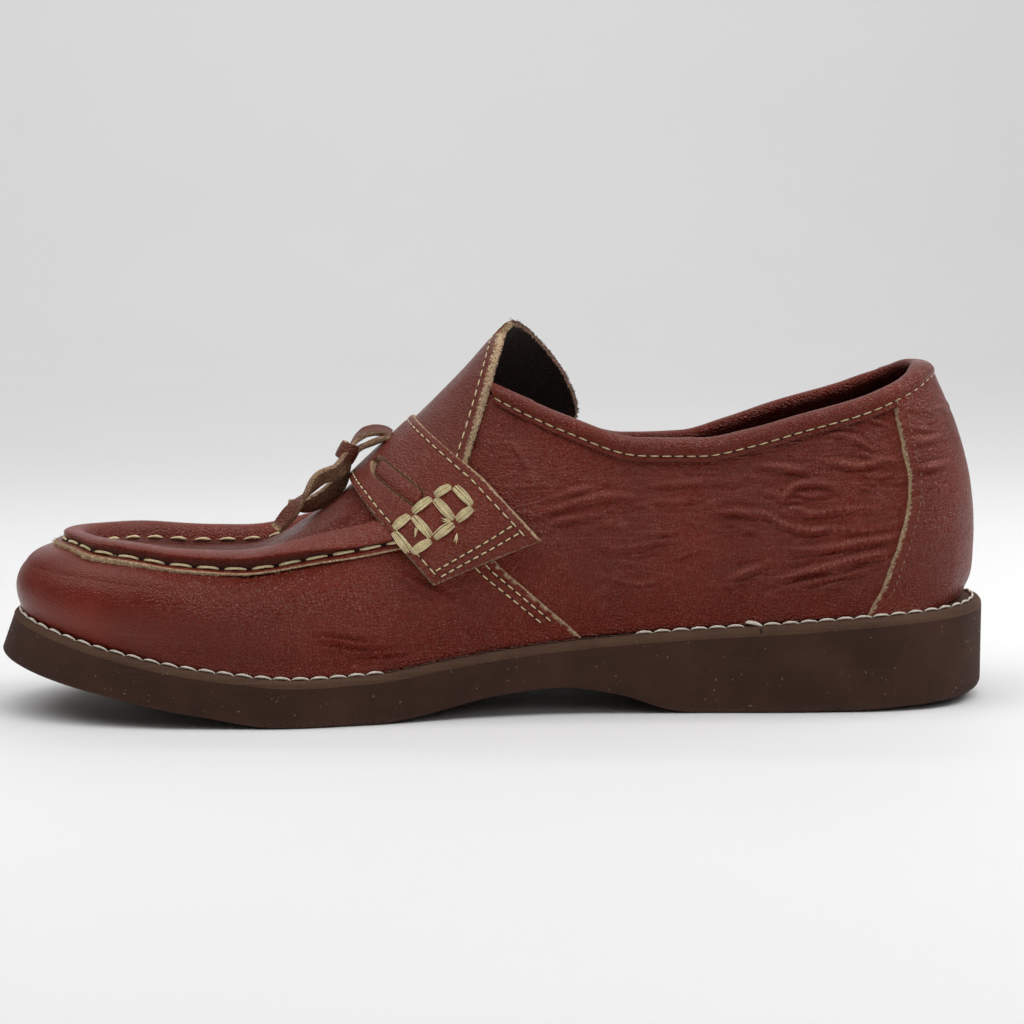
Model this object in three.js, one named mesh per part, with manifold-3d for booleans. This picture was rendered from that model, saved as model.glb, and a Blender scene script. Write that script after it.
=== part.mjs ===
// A slip-on loafer for the right foot: a leather upper with a hand-sewn apron, a strap over the instep
// and a free tongue, on a sponge-rubber sole. Millimetres, +Z up, the floor at Z = 0.
// The toe points along -X, and the inner side of the foot faces -Y.
// A station is a distance along the shoe, from the back of the heel to the tip of the toe.
import * as THREE from "three";
import { mergeVertices } from "three/addons/utils/BufferGeometryUtils.js";
import Module from "manifold-3d";

const wasm = await Module();
wasm.setup();

// Driving dimensions
const SOLE_LENGTH = 285;
const MIDSOLE_BEVEL = 1.5;
const MIDSOLE_LEAN = 0.2;
const UNDERSIDE_BEVEL = 1.6;
const INSOLE_THICKNESS = 3;
const FIT_GAP = 0.3;
const TRIM_GAP = 0.5;
const UPPER_WALL = 2.6;
const VAMP_LAP = 1;
const STRAP_THICKNESS = 2.2;
const TONGUE_THICKNESS = 2.3;
const COUNTER_THICKNESS = 1.3;
const BINDING_HEIGHT = 7;
const LACE_WIDTH = 5.5;
const LACE_THICKNESS = 2;
const LACE_BAR_THICKNESS = 1.3;
const KNOT_RADIUS = 4;

// How finely the forms are divided: along one side of the foot, and from its foot line to its crest
const SIDE_STEPS = 36;
const RISE_STEPS = 11;
const LOOP_STEPS = 2 * SIDE_STEPS;

// The sole's edge seen from above, towards the inner and the outer side of the foot
const SOLE_PLAN = [
  { station: 0, inner: 0, outer: 0 },
  { station: 5, inner: -17.5, outer: 17.5 },
  { station: 12, inner: -25.5, outer: 25.5 },
  { station: 24, inner: -31.3, outer: 31.5 },
  { station: 40, inner: -33.8, outer: 34.2 },
  { station: 60, inner: -34, outer: 35.4 },
  { station: 90, inner: -33, outer: 37.6 },
  { station: 120, inner: -33.6, outer: 42 },
  { station: 150, inner: -38, outer: 47 },
  { station: 178, inner: -45.8, outer: 50.5 },
  { station: 205, inner: -50.5, outer: 49.5 },
  { station: 230, inner: -49.5, outer: 44.5 },
  { station: 253, inner: -45, outer: 34 },
  { station: 270, inner: -36.5, outer: 20.5 },
  { station: 281, inner: -24.5, outer: 7 },
  { station: 285, inner: -9, outer: -9 },
];

// The underside of the sole: heel, arch scoop, forefoot and toe spring
const UNDERSIDE = [
  { station: 0, height: 2.2 },
  { station: 14, height: 1.5 },
  { station: 30, height: 0.6 },
  { station: 42, height: 0 },
  { station: 88, height: 0 },
  { station: 94, height: 0.7 },
  { station: 109, height: 5.3 },
  { station: 126, height: 7.7 },
  { station: 142, height: 6.4 },
  { station: 156, height: 3.5 },
  { station: 168, height: 1.1 },
  { station: 178, height: 0 },
  { station: 204, height: 0 },
  { station: 225, height: 3.1 },
  { station: 240, height: 5.7 },
  { station: 253, height: 8.5 },
  { station: 268, height: 11.7 },
  { station: 285, height: 16 },
];

// How much of the sole shows outside the foot of the upper
const SOLE_MARGIN = [
  { station: 0, width: 4.4 },
  { station: 225, width: 4.4 },
  { station: 262, width: 3.6 },
  { station: 285, width: 2.4 },
];

// The midsole, on which the upper stands: the height of its top, and its thickness
const MIDSOLE = [
  { station: 0, top: 29.2, thickness: 2.6 },
  { station: 30, top: 27.4, thickness: 2.6 },
  { station: 58, top: 25.4, thickness: 2.6 },
  { station: 103, top: 22.6, thickness: 2.5 },
  { station: 142, top: 18.9, thickness: 2.4 },
  { station: 162, top: 16.1, thickness: 2.3 },
  { station: 178, top: 13.9, thickness: 2.2 },
  { station: 198, top: 13.2, thickness: 2.1 },
  { station: 225, top: 15.6, thickness: 2 },
  { station: 253, top: 20.8, thickness: 2 },
  { station: 278, top: 27.6, thickness: 2 },
  { station: 285, top: 29.8, thickness: 2 },
];

// Cross sections of the last: the height of its crest, and how square its walls are across and upwards
const LAST = [
  { station: 40, crest: 118, across: 2.12, upward: 2.05 },
  { station: 60, crest: 124, across: 2.2, upward: 2.1 },
  { station: 80, crest: 127, across: 2.4, upward: 2.2 },
  { station: 100, crest: 126, across: 2.5, upward: 2.2 },
  { station: 125, crest: 119, across: 2.3, upward: 2.1 },
  { station: 138, crest: 108.4, across: 2.15, upward: 2 },
  { station: 152, crest: 93.3, across: 2.05, upward: 1.95 },
  { station: 165, crest: 80.4, across: 2.05, upward: 2 },
  { station: 175, crest: 71.2, across: 2.15, upward: 2.15 },
  { station: 185, crest: 61.8, across: 2.4, upward: 2.5 },
  { station: 195, crest: 53.6, across: 2.8, upward: 3 },
  { station: 205, crest: 47.9, across: 3, upward: 3.7 },
  { station: 215, crest: 45.3, across: 3.1, upward: 4.2 },
  { station: 230, crest: 45.3, across: 3.3, upward: 4.8 },
  { station: 245, crest: 48, across: 3.7, upward: 6 },
];

// How far the walls swell out above their foot line, on each side
const SWELL = [
  { station: 0, inner: 2.6, outer: 2.6 },
  { station: 40, inner: 2.4, outer: 2.4 },
  { station: 80, inner: 2.6, outer: 2 },
  { station: 120, inner: 3.6, outer: 1.6 },
  { station: 160, inner: 2.2, outer: 1.2 },
  { station: 200, inner: 1.4, outer: 1.4 },
  { station: 255, inner: 1.8, outer: 1.8 },
  { station: 285, inner: 1.6, outer: 1.6 },
];
const SWELL_TOP = 0.7;

// The spine follows the foot between these stations, and reaches this far past them
const SPINE = { heel: 60, toe: 225, reach: 20 };

// The top line of the collar binding on each side
const COLLAR = [
  { station: 14, inner: 99, outer: 99 },
  { station: 18, inner: 98.2, outer: 98.2 },
  { station: 24, inner: 95, outer: 95.8 },
  { station: 38, inner: 90, outer: 90.8 },
  { station: 58, inner: 84.6, outer: 84.6 },
  { station: 72, inner: 80.8, outer: 79.4 },
  { station: 86, inner: 78.2, outer: 75.2 },
  { station: 103, inner: 78.4, outer: 74.6 },
  { station: 125, inner: 84.6, outer: 81.4 },
  { station: 145, inner: 92, outer: 90.6 },
  { station: 156, inner: 97, outer: 97 },
];

// The apron seam, as a share of the way from the spine to the foot line
const APRON = [
  { station: 160, inner: 0.8, outer: 0.8 },
  { station: 178, inner: 0.76, outer: 0.77 },
  { station: 200, inner: 0.69, outer: 0.7 },
  { station: 225, inner: 0.66, outer: 0.65 },
  { station: 250, inner: 0.61, outer: 0.61 },
  { station: 285, inner: 0.58, outer: 0.58 },
];

// Places seen from the side
const VAMP_SEAM = { foot: [121, 20], strap: [145.2, 41.7], crest: [172, 72] };
const STRAP = {
  front: [184.3, 62.8],
  frontEnd: [161.8, 37.5],
  rearEnd: [131.3, 49.5],
  rearMiddle: [147.4, 66.6],
  rear: [166.4, 81.7],
};
const TONGUE = {
  top: [138.7, 110.8],
  innerFoot: [151, 69.7],
  outerMiddle: [122.4, 93],
  outerTip: [116.7, 79],
  outerFoot: [121, 66],
};
const TONGUE_RIDGE_Y = 3;
const COUNTER_EDGE = { top: [36, 95], middle: [26.6, 62], foot: [39, 24] };
const SLOT = { centre: [171, 64.6], length: 17.6, width: 5.8, slope: Math.atan2(-9.6, 13.7) };

const place = (station, y, z) => new THREE.Vector3(SOLE_LENGTH / 2 - station, y, z);
const stationOf = (point) => SOLE_LENGTH / 2 - point.x;

// A smooth curve through one column of a table, which doesn't overshoot between the rows
function column(rows, by, name) {
  const at = rows.map((row) => row[by]);
  const value = rows.map((row) => row[name]);
  const width = at.slice(1).map((end, i) => end - at[i]);
  const rise = width.map((w, i) => (value[i + 1] - value[i]) / w);
  const last = at.length - 1;
  const slope = at.map((_, i) => {
    if (i === 0) return rise[0];
    if (i === last) return rise[last - 1];
    if (rise[i - 1] * rise[i] <= 0) return 0;
    const before = 2 * width[i] + width[i - 1];
    const after = width[i] + 2 * width[i - 1];
    return (before + after) / (before / rise[i - 1] + after / rise[i]);
  });
  return (query) => {
    const found = at.findLastIndex((start) => start <= query);
    const i = THREE.MathUtils.clamp(found, 0, last - 1);
    const t = THREE.MathUtils.clamp((query - at[i]) / width[i], 0, 1);
    const ease = t * t * (3 - 2 * t);
    const leave = slope[i] * t * (1 - t) * (1 - t);
    const arrive = slope[i + 1] * t * t * (1 - t);
    return value[i] + ease * (value[i + 1] - value[i]) + width[i] * (leave - arrive);
  };
}

// A turn runs once around the foot: heel at 0, inner side, toe at PI, outer side
const angleOf = (station) => Math.acos(1 - (2 * station) / SOLE_LENGTH);
const isInner = (turn) => turn <= Math.PI;
const foldedAngle = (turn) => (isInner(turn) ? turn : 2 * Math.PI - turn);
const stationAt = (turn) => (SOLE_LENGTH / 2) * (1 - Math.cos(turn));
const turnAt = (station, side) => (side === "inner" ? angleOf(station) : 2 * Math.PI - angleOf(station));
const turnOfStep = (step) => (2 * Math.PI * step) / LOOP_STEPS;
const loop = (make) => Array.from({ length: LOOP_STEPS }, (_, step) => make(turnOfStep(step)));

const planByAngle = SOLE_PLAN.map((row) => ({ ...row, angle: angleOf(row.station) }));
const bothSides = (rows, by) => ({ inner: column(rows, by, "inner"), outer: column(rows, by, "outer") });
const planSide = bothSides(planByAngle, "angle");
const underside = column(UNDERSIDE, "station", "height");
const midsoleTop = column(MIDSOLE, "station", "top");
const midsoleThickness = column(MIDSOLE, "station", "thickness");
const soleMargin = column(SOLE_MARGIN, "station", "width");
const crestHeight = column(LAST, "station", "crest");
const squareAcross = column(LAST, "station", "across");
const squareUpward = column(LAST, "station", "upward");
const swellSide = bothSides(SWELL, "station");
const collarSide = bothSides(COLLAR, "station");
const apronSide = bothSides(APRON, "station");
const sideAt = (columns, turn) => (isInner(turn) ? columns.inner : columns.outer);

// The sole's edge at a turn, moved inwards
function soleEdge(turn, inset) {
  const edge = (t) => {
    const wrapped = THREE.MathUtils.euclideanModulo(t, 2 * Math.PI);
    return new THREE.Vector2(stationAt(wrapped), sideAt(planSide, wrapped)(foldedAngle(wrapped)));
  };
  const nudge = 1e-3;
  const along = edge(turn + nudge).sub(edge(turn - nudge)).normalize();
  return edge(turn).add(new THREE.Vector2(-along.y, along.x).multiplyScalar(inset));
}

// The sides of the sole lean back towards the toe
const TOE_LEAN = { share: 0.24, from: 200, to: SOLE_LENGTH };
function leanInset(turn, height) {
  const station = stationAt(turn);
  return TOE_LEAN.share * THREE.MathUtils.smoothstep(station, TOE_LEAN.from, TOE_LEAN.to) * height;
}

// A point on the sole's edge, inset from it, at a height that is a function of its station
function edgePoint(turn, inset, heightAt) {
  const edge = soleEdge(turn, inset);
  return place(edge.x, edge.y, heightAt(edge.x));
}

function topEdgePoint(turn, inset, heightAt) {
  const station = stationAt(turn);
  const lean = leanInset(turn, midsoleTop(station) - underside(station));
  return edgePoint(turn, inset + lean, heightAt);
}
const midsoleUnder = (station) => midsoleTop(station) - midsoleThickness(station);

// A geometry from points and triangles, with its faces pointing out
function closedGeometry(points, faces) {
  const corner = new THREE.Vector3();
  let volume = 0;
  for (const [a, b, c] of faces) {
    volume += points[a].dot(corner.crossVectors(points[b], points[c]));
  }
  const outward = volume > 0 ? faces : faces.map(([a, b, c]) => [a, c, b]);
  const geometry = new THREE.BufferGeometry().setFromPoints(points);
  geometry.setIndex(outward.flat());
  return geometry;
}

// The strips that close a ring: each point meets the one across the foot
function ringLid(pointOf) {
  const faces = [[pointOf(0), pointOf(1), pointOf(LOOP_STEPS - 1)]];
  for (let step = 1; step < SIDE_STEPS - 1; step += 1) {
    const [a, b] = [pointOf(step), pointOf(step + 1)];
    const [c, d] = [pointOf(LOOP_STEPS - step - 1), pointOf(LOOP_STEPS - step)];
    faces.push([a, b, c], [a, c, d]);
  }
  faces.push([pointOf(SIDE_STEPS - 1), pointOf(SIDE_STEPS), pointOf(SIDE_STEPS + 1)]);
  return faces;
}

const flipped = (faces) => faces.map(([a, b, c]) => [a, c, b]);

// The band of faces between two rings
function ringBand(lower, upper) {
  const faces = [];
  for (let step = 0; step < LOOP_STEPS; step += 1) {
    const next = (step + 1) % LOOP_STEPS;
    faces.push([lower(step), lower(next), upper(next)], [lower(step), upper(next), upper(step)]);
  }
  return faces;
}

// A plate through rings of the foot's loop, from the lowest to the highest
function plate(rings) {
  const pointOf = (ring) => (step) => ring * LOOP_STEPS + step;
  const bands = rings.slice(1).flatMap((_, ring) => ringBand(pointOf(ring), pointOf(ring + 1)));
  const lids = [...flipped(ringLid(pointOf(0))), ...ringLid(pointOf(rings.length - 1))];
  return closedGeometry(rings.flat(), [...bands, ...lids]);
}

// The spine bends into a short pole at heel and toe, so that many turns share one end of it
function spineStation(station) {
  const soft = (over) => SPINE.reach * (1 - Math.exp(-over / SPINE.reach));
  if (station < SPINE.heel) return SPINE.heel - soft(SPINE.heel - station);
  if (station > SPINE.toe) return SPINE.toe + soft(station - SPINE.toe);
  return station;
}

function spinePoint(station) {
  const angle = angleOf(station);
  const middle = (planSide.inner(angle) + planSide.outer(angle)) / 2;
  return place(station, middle, crestHeight(station));
}

// The point of the last's surface at a turn, for a climb from 0 at the foot line to PI / 2 at the crest
function lastPoint(turn, climb) {
  const wrapped = THREE.MathUtils.euclideanModulo(turn, 2 * Math.PI);
  const margin = soleMargin(stationAt(wrapped));
  const foot = topEdgePoint(wrapped, margin, (station) => midsoleTop(station) + FIT_GAP);
  const pole = spineStation(stationOf(foot));
  const spine = spinePoint(pole);
  const across = Math.max(0, Math.cos(climb)) ** (2 / squareAcross(pole));
  const upward = Math.sin(climb) ** (2 / squareUpward(pole));
  const reach = Math.hypot(foot.x - spine.x, foot.y - spine.y);
  const swell = sideAt(swellSide, wrapped)(stationOf(foot)) / reach;
  const share = across + swell * Math.sin(Math.PI * Math.min(1, upward / SWELL_TOP));
  const z = THREE.MathUtils.lerp(foot.z, spine.z, upward);
  return new THREE.Vector3().lerpVectors(spine, foot, share).setZ(z);
}

// The grid of the last's points, and the direction out of its surface at each
const lastGrid = [];
for (let row = 0; row < RISE_STEPS; row += 1) {
  lastGrid.push(...loop((turn) => lastPoint(turn, (Math.PI / 2) * (row / RISE_STEPS))));
}
for (let step = 0; step <= SIDE_STEPS; step += 1) {
  lastGrid.push(lastPoint(turnOfStep(step), Math.PI / 2));
}
const gridPoint = (row) => (step) => {
  const spineStep = Math.min(step, LOOP_STEPS - step);
  return row < RISE_STEPS ? row * LOOP_STEPS + step : RISE_STEPS * LOOP_STEPS + spineStep;
};
const bandAbove = (row) => ringBand(gridPoint(row), gridPoint(row + 1));
const lastBands = Array.from({ length: RISE_STEPS }, (_, row) => bandAbove(row));
const lastFaces = lastBands.flat().filter(([a, b, c]) => a !== b && b !== c && c !== a);

function outwardDirections() {
  const geometry = new THREE.BufferGeometry().setFromPoints(lastGrid);
  geometry.setIndex(lastFaces.flat());
  geometry.computeVertexNormals();
  const normal = geometry.getAttribute("normal");
  const innerSide = gridPoint(0)(SIDE_STEPS / 2);
  const sign = normal.getY(innerSide) > 0 ? -1 : 1;
  return lastGrid.map((_, i) => {
    const out = new THREE.Vector3().fromBufferAttribute(normal, i).multiplyScalar(sign);
    return i < LOOP_STEPS ? out.setZ(0).normalize() : out;
  });
}
const lastOut = outwardDirections();

// The last grown or shrunk by a distance, closed underneath, and drawn down below its foot line
function formGeometry(distance, drop = 0) {
  const points = lastGrid.map((point, i) => point.clone().addScaledVector(lastOut[i], distance));
  const base = points.length;
  const foot = points.slice(0, LOOP_STEPS).map((point) => point.clone().setZ(point.z - drop));
  if (drop === 0) return closedGeometry(points, [...lastFaces, ...flipped(ringLid(gridPoint(0)))]);
  const footPoint = (step) => base + step;
  const skirt = ringBand(footPoint, gridPoint(0));
  return closedGeometry([...points, ...foot], [...lastFaces, ...skirt, ...flipped(ringLid(footPoint))]);
}

// Closed bodies that can be joined and cut
function body(geometry) {
  const bare = geometry.clone();
  for (const name of ["normal", "uv"]) bare.deleteAttribute(name);
  const merged = mergeVertices(bare, 1e-4);
  const vertProperties = new Float32Array(merged.getAttribute("position").array);
  const triVerts = new Uint32Array(merged.index.array);
  return new wasm.Manifold(new wasm.Mesh({ numProp: 3, vertProperties, triVerts }));
}

function geometryOf(solid) {
  const mesh = solid.getMesh();
  const geometry = new THREE.BufferGeometry();
  geometry.setAttribute("position", new THREE.BufferAttribute(mesh.vertProperties, mesh.numProp));
  geometry.setIndex(new THREE.BufferAttribute(mesh.triVerts, 1));
  geometry.computeVertexNormals();
  return geometry;
}

const CUT_DROP = 6;
const OUTER_FORM = 9;
const form = (distance) => body(formGeometry(distance));
const hollow = (distance) => body(formGeometry(distance, CUT_DROP));
const shell = (outer, inner) => form(outer).subtract(hollow(inner));

// A block across the foot, from an outline seen from the side as stations and heights
const FAR_SIDE = 90;
const CUT_TOP = 200;
const CUT_REACH = 60;
const HALVES_LAP = 0.01;
function sideBlock(outline, fromY = -FAR_SIDE, toY = FAR_SIDE) {
  const corners = outline.map(([station, z]) => new THREE.Vector2(SOLE_LENGTH / 2 - station, z));
  const shape = new THREE.Shape(corners);
  const geometry = new THREE.ExtrudeGeometry(shape, { depth: toY - fromY, bevelEnabled: false });
  geometry.rotateX(Math.PI / 2);
  geometry.translate(0, toY, 0);
  return body(geometry);
}

// A point further along the line from one place to another, in the side view
const beyond = (from, to, distance) => {
  const run = new THREE.Vector2(to[0] - from[0], to[1] - from[1]).setLength(distance);
  return [to[0] + run.x, to[1] + run.y];
};

// Sole
const bevelRing = (inset, heightAt) => loop((turn) => edgePoint(turn, inset, heightAt));

function outsole() {
  const bottom = bevelRing(UNDERSIDE_BEVEL, underside);
  const side = bevelRing(0, (station) => underside(station) + UNDERSIDE_BEVEL);
  const top = loop((turn) => topEdgePoint(turn, 0, (station) => midsoleUnder(station) - FIT_GAP));
  return plate([bottom, side, top]);
}

function midsole() {
  const low = loop((turn) => topEdgePoint(turn, 0, midsoleUnder));
  const bevelHeight = (station) => midsoleTop(station) - MIDSOLE_BEVEL;
  const bevel = loop((turn) => topEdgePoint(turn, MIDSOLE_LEAN, bevelHeight));
  const top = loop((turn) => topEdgePoint(turn, MIDSOLE_BEVEL, midsoleTop));
  return plate([low, bevel, top]);
}

function insole() {
  const inset = (turn) => soleMargin(stationAt(turn)) + UPPER_WALL + FIT_GAP;
  const ring = (above) =>
    loop((turn) => topEdgePoint(turn, inset(turn), (station) => midsoleTop(station) + above));
  return plate([ring(FIT_GAP), ring(FIT_GAP + INSOLE_THICKNESS)]);
}

// Everything above the collar's line, lowered by a distance
const COLLAR_CUT = 0.7 * BINDING_HEIGHT;
function aboveCollar(lower) {
  const stations = [-CUT_REACH, ...COLLAR.map((row) => row.station)];
  const lastRow = COLLAR[COLLAR.length - 1].station;
  const half = (heightAt, fromY, toY) => {
    const line = stations.map((station) => [station, heightAt(station) - lower]);
    return sideBlock([...line, [lastRow, CUT_TOP], [stations[0], CUT_TOP]], fromY, toY);
  };
  return half(collarSide.inner, -FAR_SIDE, 0).add(half(collarSide.outer, -HALVES_LAP, FAR_SIDE));
}

// Upper: the vamp at full thickness in front, lapped over thinner quarters behind
function quarterSide() {
  const { foot, strap, crest } = VAMP_SEAM;
  const low = beyond(strap, foot, CUT_REACH);
  const behind = -CUT_REACH;
  return sideBlock([low, strap, crest, [crest[0], CUT_TOP], [behind, CUT_TOP], [behind, low[1]]]);
}

function upper() {
  const quarterSkin = hollow(OUTER_FORM)
    .subtract(hollow(-VAMP_LAP))
    .intersect(quarterSide());
  return shell(0, -UPPER_WALL)
    .subtract(quarterSkin)
    .subtract(aboveCollar(COLLAR_CUT))
    .subtract(body(collarBinding(FIT_GAP)));
}

// Strap over the instep, seen from the side as a band between two edges
function strapOutline(grow) {
  const { front, frontEnd, rearEnd, rearMiddle, rear } = STRAP;
  const crest = [beyond(rearMiddle, rear, CUT_REACH), beyond(frontEnd, front, CUT_REACH)];
  const outline = [frontEnd, rearEnd, rearMiddle, ...crest];
  const centre = [0, 1].map((k) => (frontEnd[k] + rearEnd[k] + rear[k] + front[k]) / 4);
  return outline.map((corner) => beyond(centre, corner, grow));
}

const SLOT_STEPS = 5;
function slotBlock(inset, fromY, toY) {
  const { centre, length, width, slope } = SLOT;
  const radius = width / 2 - inset;
  const half = (length - width) / 2;
  const turns = Array.from({ length: SLOT_STEPS + 1 }, (_, i) => Math.PI * (i / SLOT_STEPS - 0.5));
  const end = (sign) =>
    turns.map((turn) => {
      const [run, rise] = [sign * (half + radius * Math.cos(turn)), sign * radius * Math.sin(turn)];
      const [cos, sin] = [Math.cos(slope), Math.sin(slope)];
      return [centre[0] - run * cos + rise * sin, centre[1] + run * sin + rise * cos];
    });
  return sideBlock([...end(1), ...end(-1)], fromY, toY);
}

const CREST_CLEAR = 8;
const SIDES = { inner: [-FAR_SIDE, -CREST_CLEAR], outer: [CREST_CLEAR, FAR_SIDE] };

function saddleStrap() {
  const band = shell(FIT_GAP + STRAP_THICKNESS, FIT_GAP).intersect(sideBlock(strapOutline(0)));
  return band.subtract(slotBlock(0, ...SIDES.inner)).subtract(slotBlock(0, ...SIDES.outer));
}

function laceBar(side) {
  const skin = shell(FIT_GAP + LACE_BAR_THICKNESS, FIT_GAP);
  return skin.intersect(slotBlock(FIT_GAP, ...SIDES[side]));
}

// Tongue: cut straight on its inner side, and slid to the outer side where it reaches further back
function tongue() {
  const skin = shell(FIT_GAP - VAMP_LAP + TONGUE_THICKNESS, FIT_GAP - VAMP_LAP);
  const { top, innerFoot, outerMiddle, outerTip, outerFoot } = TONGUE;
  const middle = (a, b) => [(a[0] + b[0]) / 2, (a[1] + b[1]) / 2];
  const strapFoot = middle(STRAP.frontEnd, STRAP.rearEnd);
  const strapCrest = middle(STRAP.front, STRAP.rear);
  const front = [beyond(innerFoot, top, CUT_REACH), beyond(strapFoot, strapCrest, CUT_REACH), strapFoot];
  const outerEdge = [outerFoot, outerTip, outerMiddle];
  const innerHalf = sideBlock([innerFoot, top, ...front], -FAR_SIDE, TONGUE_RIDGE_Y);
  const outerHalf = sideBlock([...outerEdge, top, ...front], TONGUE_RIDGE_Y - HALVES_LAP, FAR_SIDE);
  return skin.intersect(innerHalf.add(outerHalf)).subtract(sideBlock(strapOutline(TRIM_GAP)));
}

// Heel counter, below the binding and behind its curved front edge
const COUNTER_STEPS = 8;
function heelCounter() {
  const { top, middle, foot } = COUNTER_EDGE;
  const arc = new THREE.QuadraticBezierCurve(
    new THREE.Vector2(...top),
    new THREE.Vector2(2 * middle[0] - (top[0] + foot[0]) / 2, middle[1]),
    new THREE.Vector2(...foot),
  );
  const edge = arc.getPoints(COUNTER_STEPS).map((point) => [point.x, point.y]);
  const base = FIT_GAP - VAMP_LAP;
  return shell(base + COUNTER_THICKNESS, base)
    .intersect(sideBlock([...edge, [-CUT_REACH, foot[1]], [-CUT_REACH, top[1]]]))
    .subtract(aboveCollar(COLLAR_CUT))
    .subtract(body(collarBinding(FIT_GAP)));
}

// A body with one section along a path: each stop has a point, an out and a side direction
function sweep(stops, sectionAt) {
  const flat = (i) => sectionAt(i).map(([side, out]) => new THREE.Vector2(side, out));
  const turned = THREE.ShapeUtils.isClockWise(flat(0));
  const sections = stops.map((_, i) => (turned ? flat(i).reverse() : flat(i)));
  const count = sections[0].length;
  const points = stops.flatMap((stop, i) =>
    sections[i].map(({ x: side, y: out }) =>
      stop.point.clone().addScaledVector(stop.side, side).addScaledVector(stop.out, out),
    ),
  );
  const faces = [];
  for (let i = 0; i + 1 < stops.length; i += 1) {
    for (let k = 0; k < count; k += 1) {
      const next = (k + 1) % count;
      const [a, b] = [i * count + k, i * count + next];
      faces.push([a, b, b + count], [a, b + count, a + count]);
    }
  }
  const lastStop = stops.length - 1;
  const startLid = flipped(THREE.ShapeUtils.triangulateShape(sections[0], []));
  const endLid = THREE.ShapeUtils.triangulateShape(sections[lastStop], []).map((face) =>
    face.map((k) => lastStop * count + k),
  );
  return closedGeometry(points, [...faces, ...startLid, ...endLid]);
}

// A stop on the last's surface, with its directions out of the surface and towards its foot
function surfaceStop(turn, climb) {
  const nudge = 1e-3;
  const along = lastPoint(turn + nudge, climb).sub(lastPoint(turn - nudge, climb)).normalize();
  const up = lastPoint(turn, climb + nudge).sub(lastPoint(turn, climb - nudge)).normalize();
  const out = new THREE.Vector3().crossVectors(up, along).normalize();
  return { point: lastPoint(turn, climb), out, up };
}

// The climb at which a rising measure of the surface point reaches zero, found by halving
const HALVINGS = 40;
function climbWhere(turn, measure) {
  let [low, high] = [0, Math.PI / 2];
  for (let round = 0; round < HALVINGS; round += 1) {
    const middle = (low + high) / 2;
    if (measure(lastPoint(turn, middle)) < 0) low = middle;
    else high = middle;
  }
  return (low + high) / 2;
}

// Gives each stop its side direction, across the path and the way out
function withSides(stops) {
  return stops.map((stop, i) => {
    const before = stops[Math.max(0, i - 1)].point;
    const after = stops[Math.min(stops.length - 1, i + 1)].point;
    const along = after.clone().sub(before).normalize();
    const side = new THREE.Vector3().crossVectors(along, stop.out).normalize();
    return { ...stop, side };
  });
}

// Apron roll: a raised rolled seam with a flat raw edge outside it, ending under the strap
const ROLL_STEPS = 46;
const ROLL_SECTION = [
  { side: 6, out: -1.5 },
  { side: 6, out: 1.7 },
  { side: 3.4, out: 1.9 },
  { side: 2.8, out: 3.5 },
  { side: 1, out: 4.6 },
  { side: -1.2, out: 4.5 },
  { side: -2.9, out: 3.2 },
  { side: -3.6, out: -1.5 },
];
const ROLL_ENDS = { inner: 168, outer: 168 };

function apronRoll() {
  const [start, end] = [turnAt(ROLL_ENDS.inner, "inner"), turnAt(ROLL_ENDS.outer, "outer")];
  const stops = Array.from({ length: ROLL_STEPS + 1 }, (_, i) => {
    const turn = THREE.MathUtils.lerp(start, end, i / ROLL_STEPS);
    const station = stationAt(turn);
    const share = sideAt(apronSide, turn)(station);
    const climb = Math.acos(share ** (squareAcross(spineStation(station)) / 2));
    return surfaceStop(turn, climb);
  });
  const sided = withSides(stops);
  const outside = Math.sign(sided[0].side.y) < 0 ? 1 : -1;
  const section = ROLL_SECTION.map(({ side, out }) => [outside * side, out]);
  return body(sweep(sided, () => section))
    .subtract(hollow(FIT_GAP))
    .subtract(sideBlock(strapOutline(TRIM_GAP)));
}

// Collar binding: a soft roll along the top line, flat on its outside where the tongue lies over it
const BINDING_STEPS = 44;
const BINDING_SECTION = [
  { up: -3.4, out: 0.6 },
  { up: -1.4, out: 1 },
  { up: 0.6, out: 1.1 },
  { up: 2.2, out: 0.4 },
  { up: 3.4, out: -1.1 },
  { up: 3.3, out: -2.9 },
  { up: 1.8, out: -4 },
  { up: -0.8, out: -3.6 },
  { up: -3.4, out: -2.7 },
];
const BINDING_ENDS = { inner: 143.5, outer: 145 };
const TONGUE_OVER = { from: 106, to: 112, out: -1.3 };
const BINDING_MIDDLE = { up: 0, out: -2.2 };

function bindingSection(covered, grow) {
  return BINDING_SECTION.map(({ up, out }) => {
    const lowered = THREE.MathUtils.lerp(out, Math.min(out, TONGUE_OVER.out), covered);
    const away = new THREE.Vector2(up - BINDING_MIDDLE.up, lowered - BINDING_MIDDLE.out).setLength(grow);
    return [up + away.x, lowered + away.y];
  });
}

function collarBinding(grow) {
  const [start, end] = [angleOf(BINDING_ENDS.inner + 2 * grow), -angleOf(BINDING_ENDS.outer + 2 * grow)];
  const stops = Array.from({ length: BINDING_STEPS + 1 }, (_, i) => {
    const turn = THREE.MathUtils.lerp(start, end, i / BINDING_STEPS);
    const side = turn < 0 ? "outer" : "inner";
    const fall = (point) => point.z - collarSide[side](stationOf(point)) + BINDING_HEIGHT / 2;
    const { point, out, up } = surfaceStop(turn, climbWhere(turn, fall));
    const under = THREE.MathUtils.smoothstep(stationOf(point), TONGUE_OVER.from, TONGUE_OVER.to);
    return { point, out, side: up, covered: side === "outer" && grow === 0 ? under : 0 };
  });
  return sweep(stops, (i) => bindingSection(stops[i].covered, grow));
}

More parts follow.
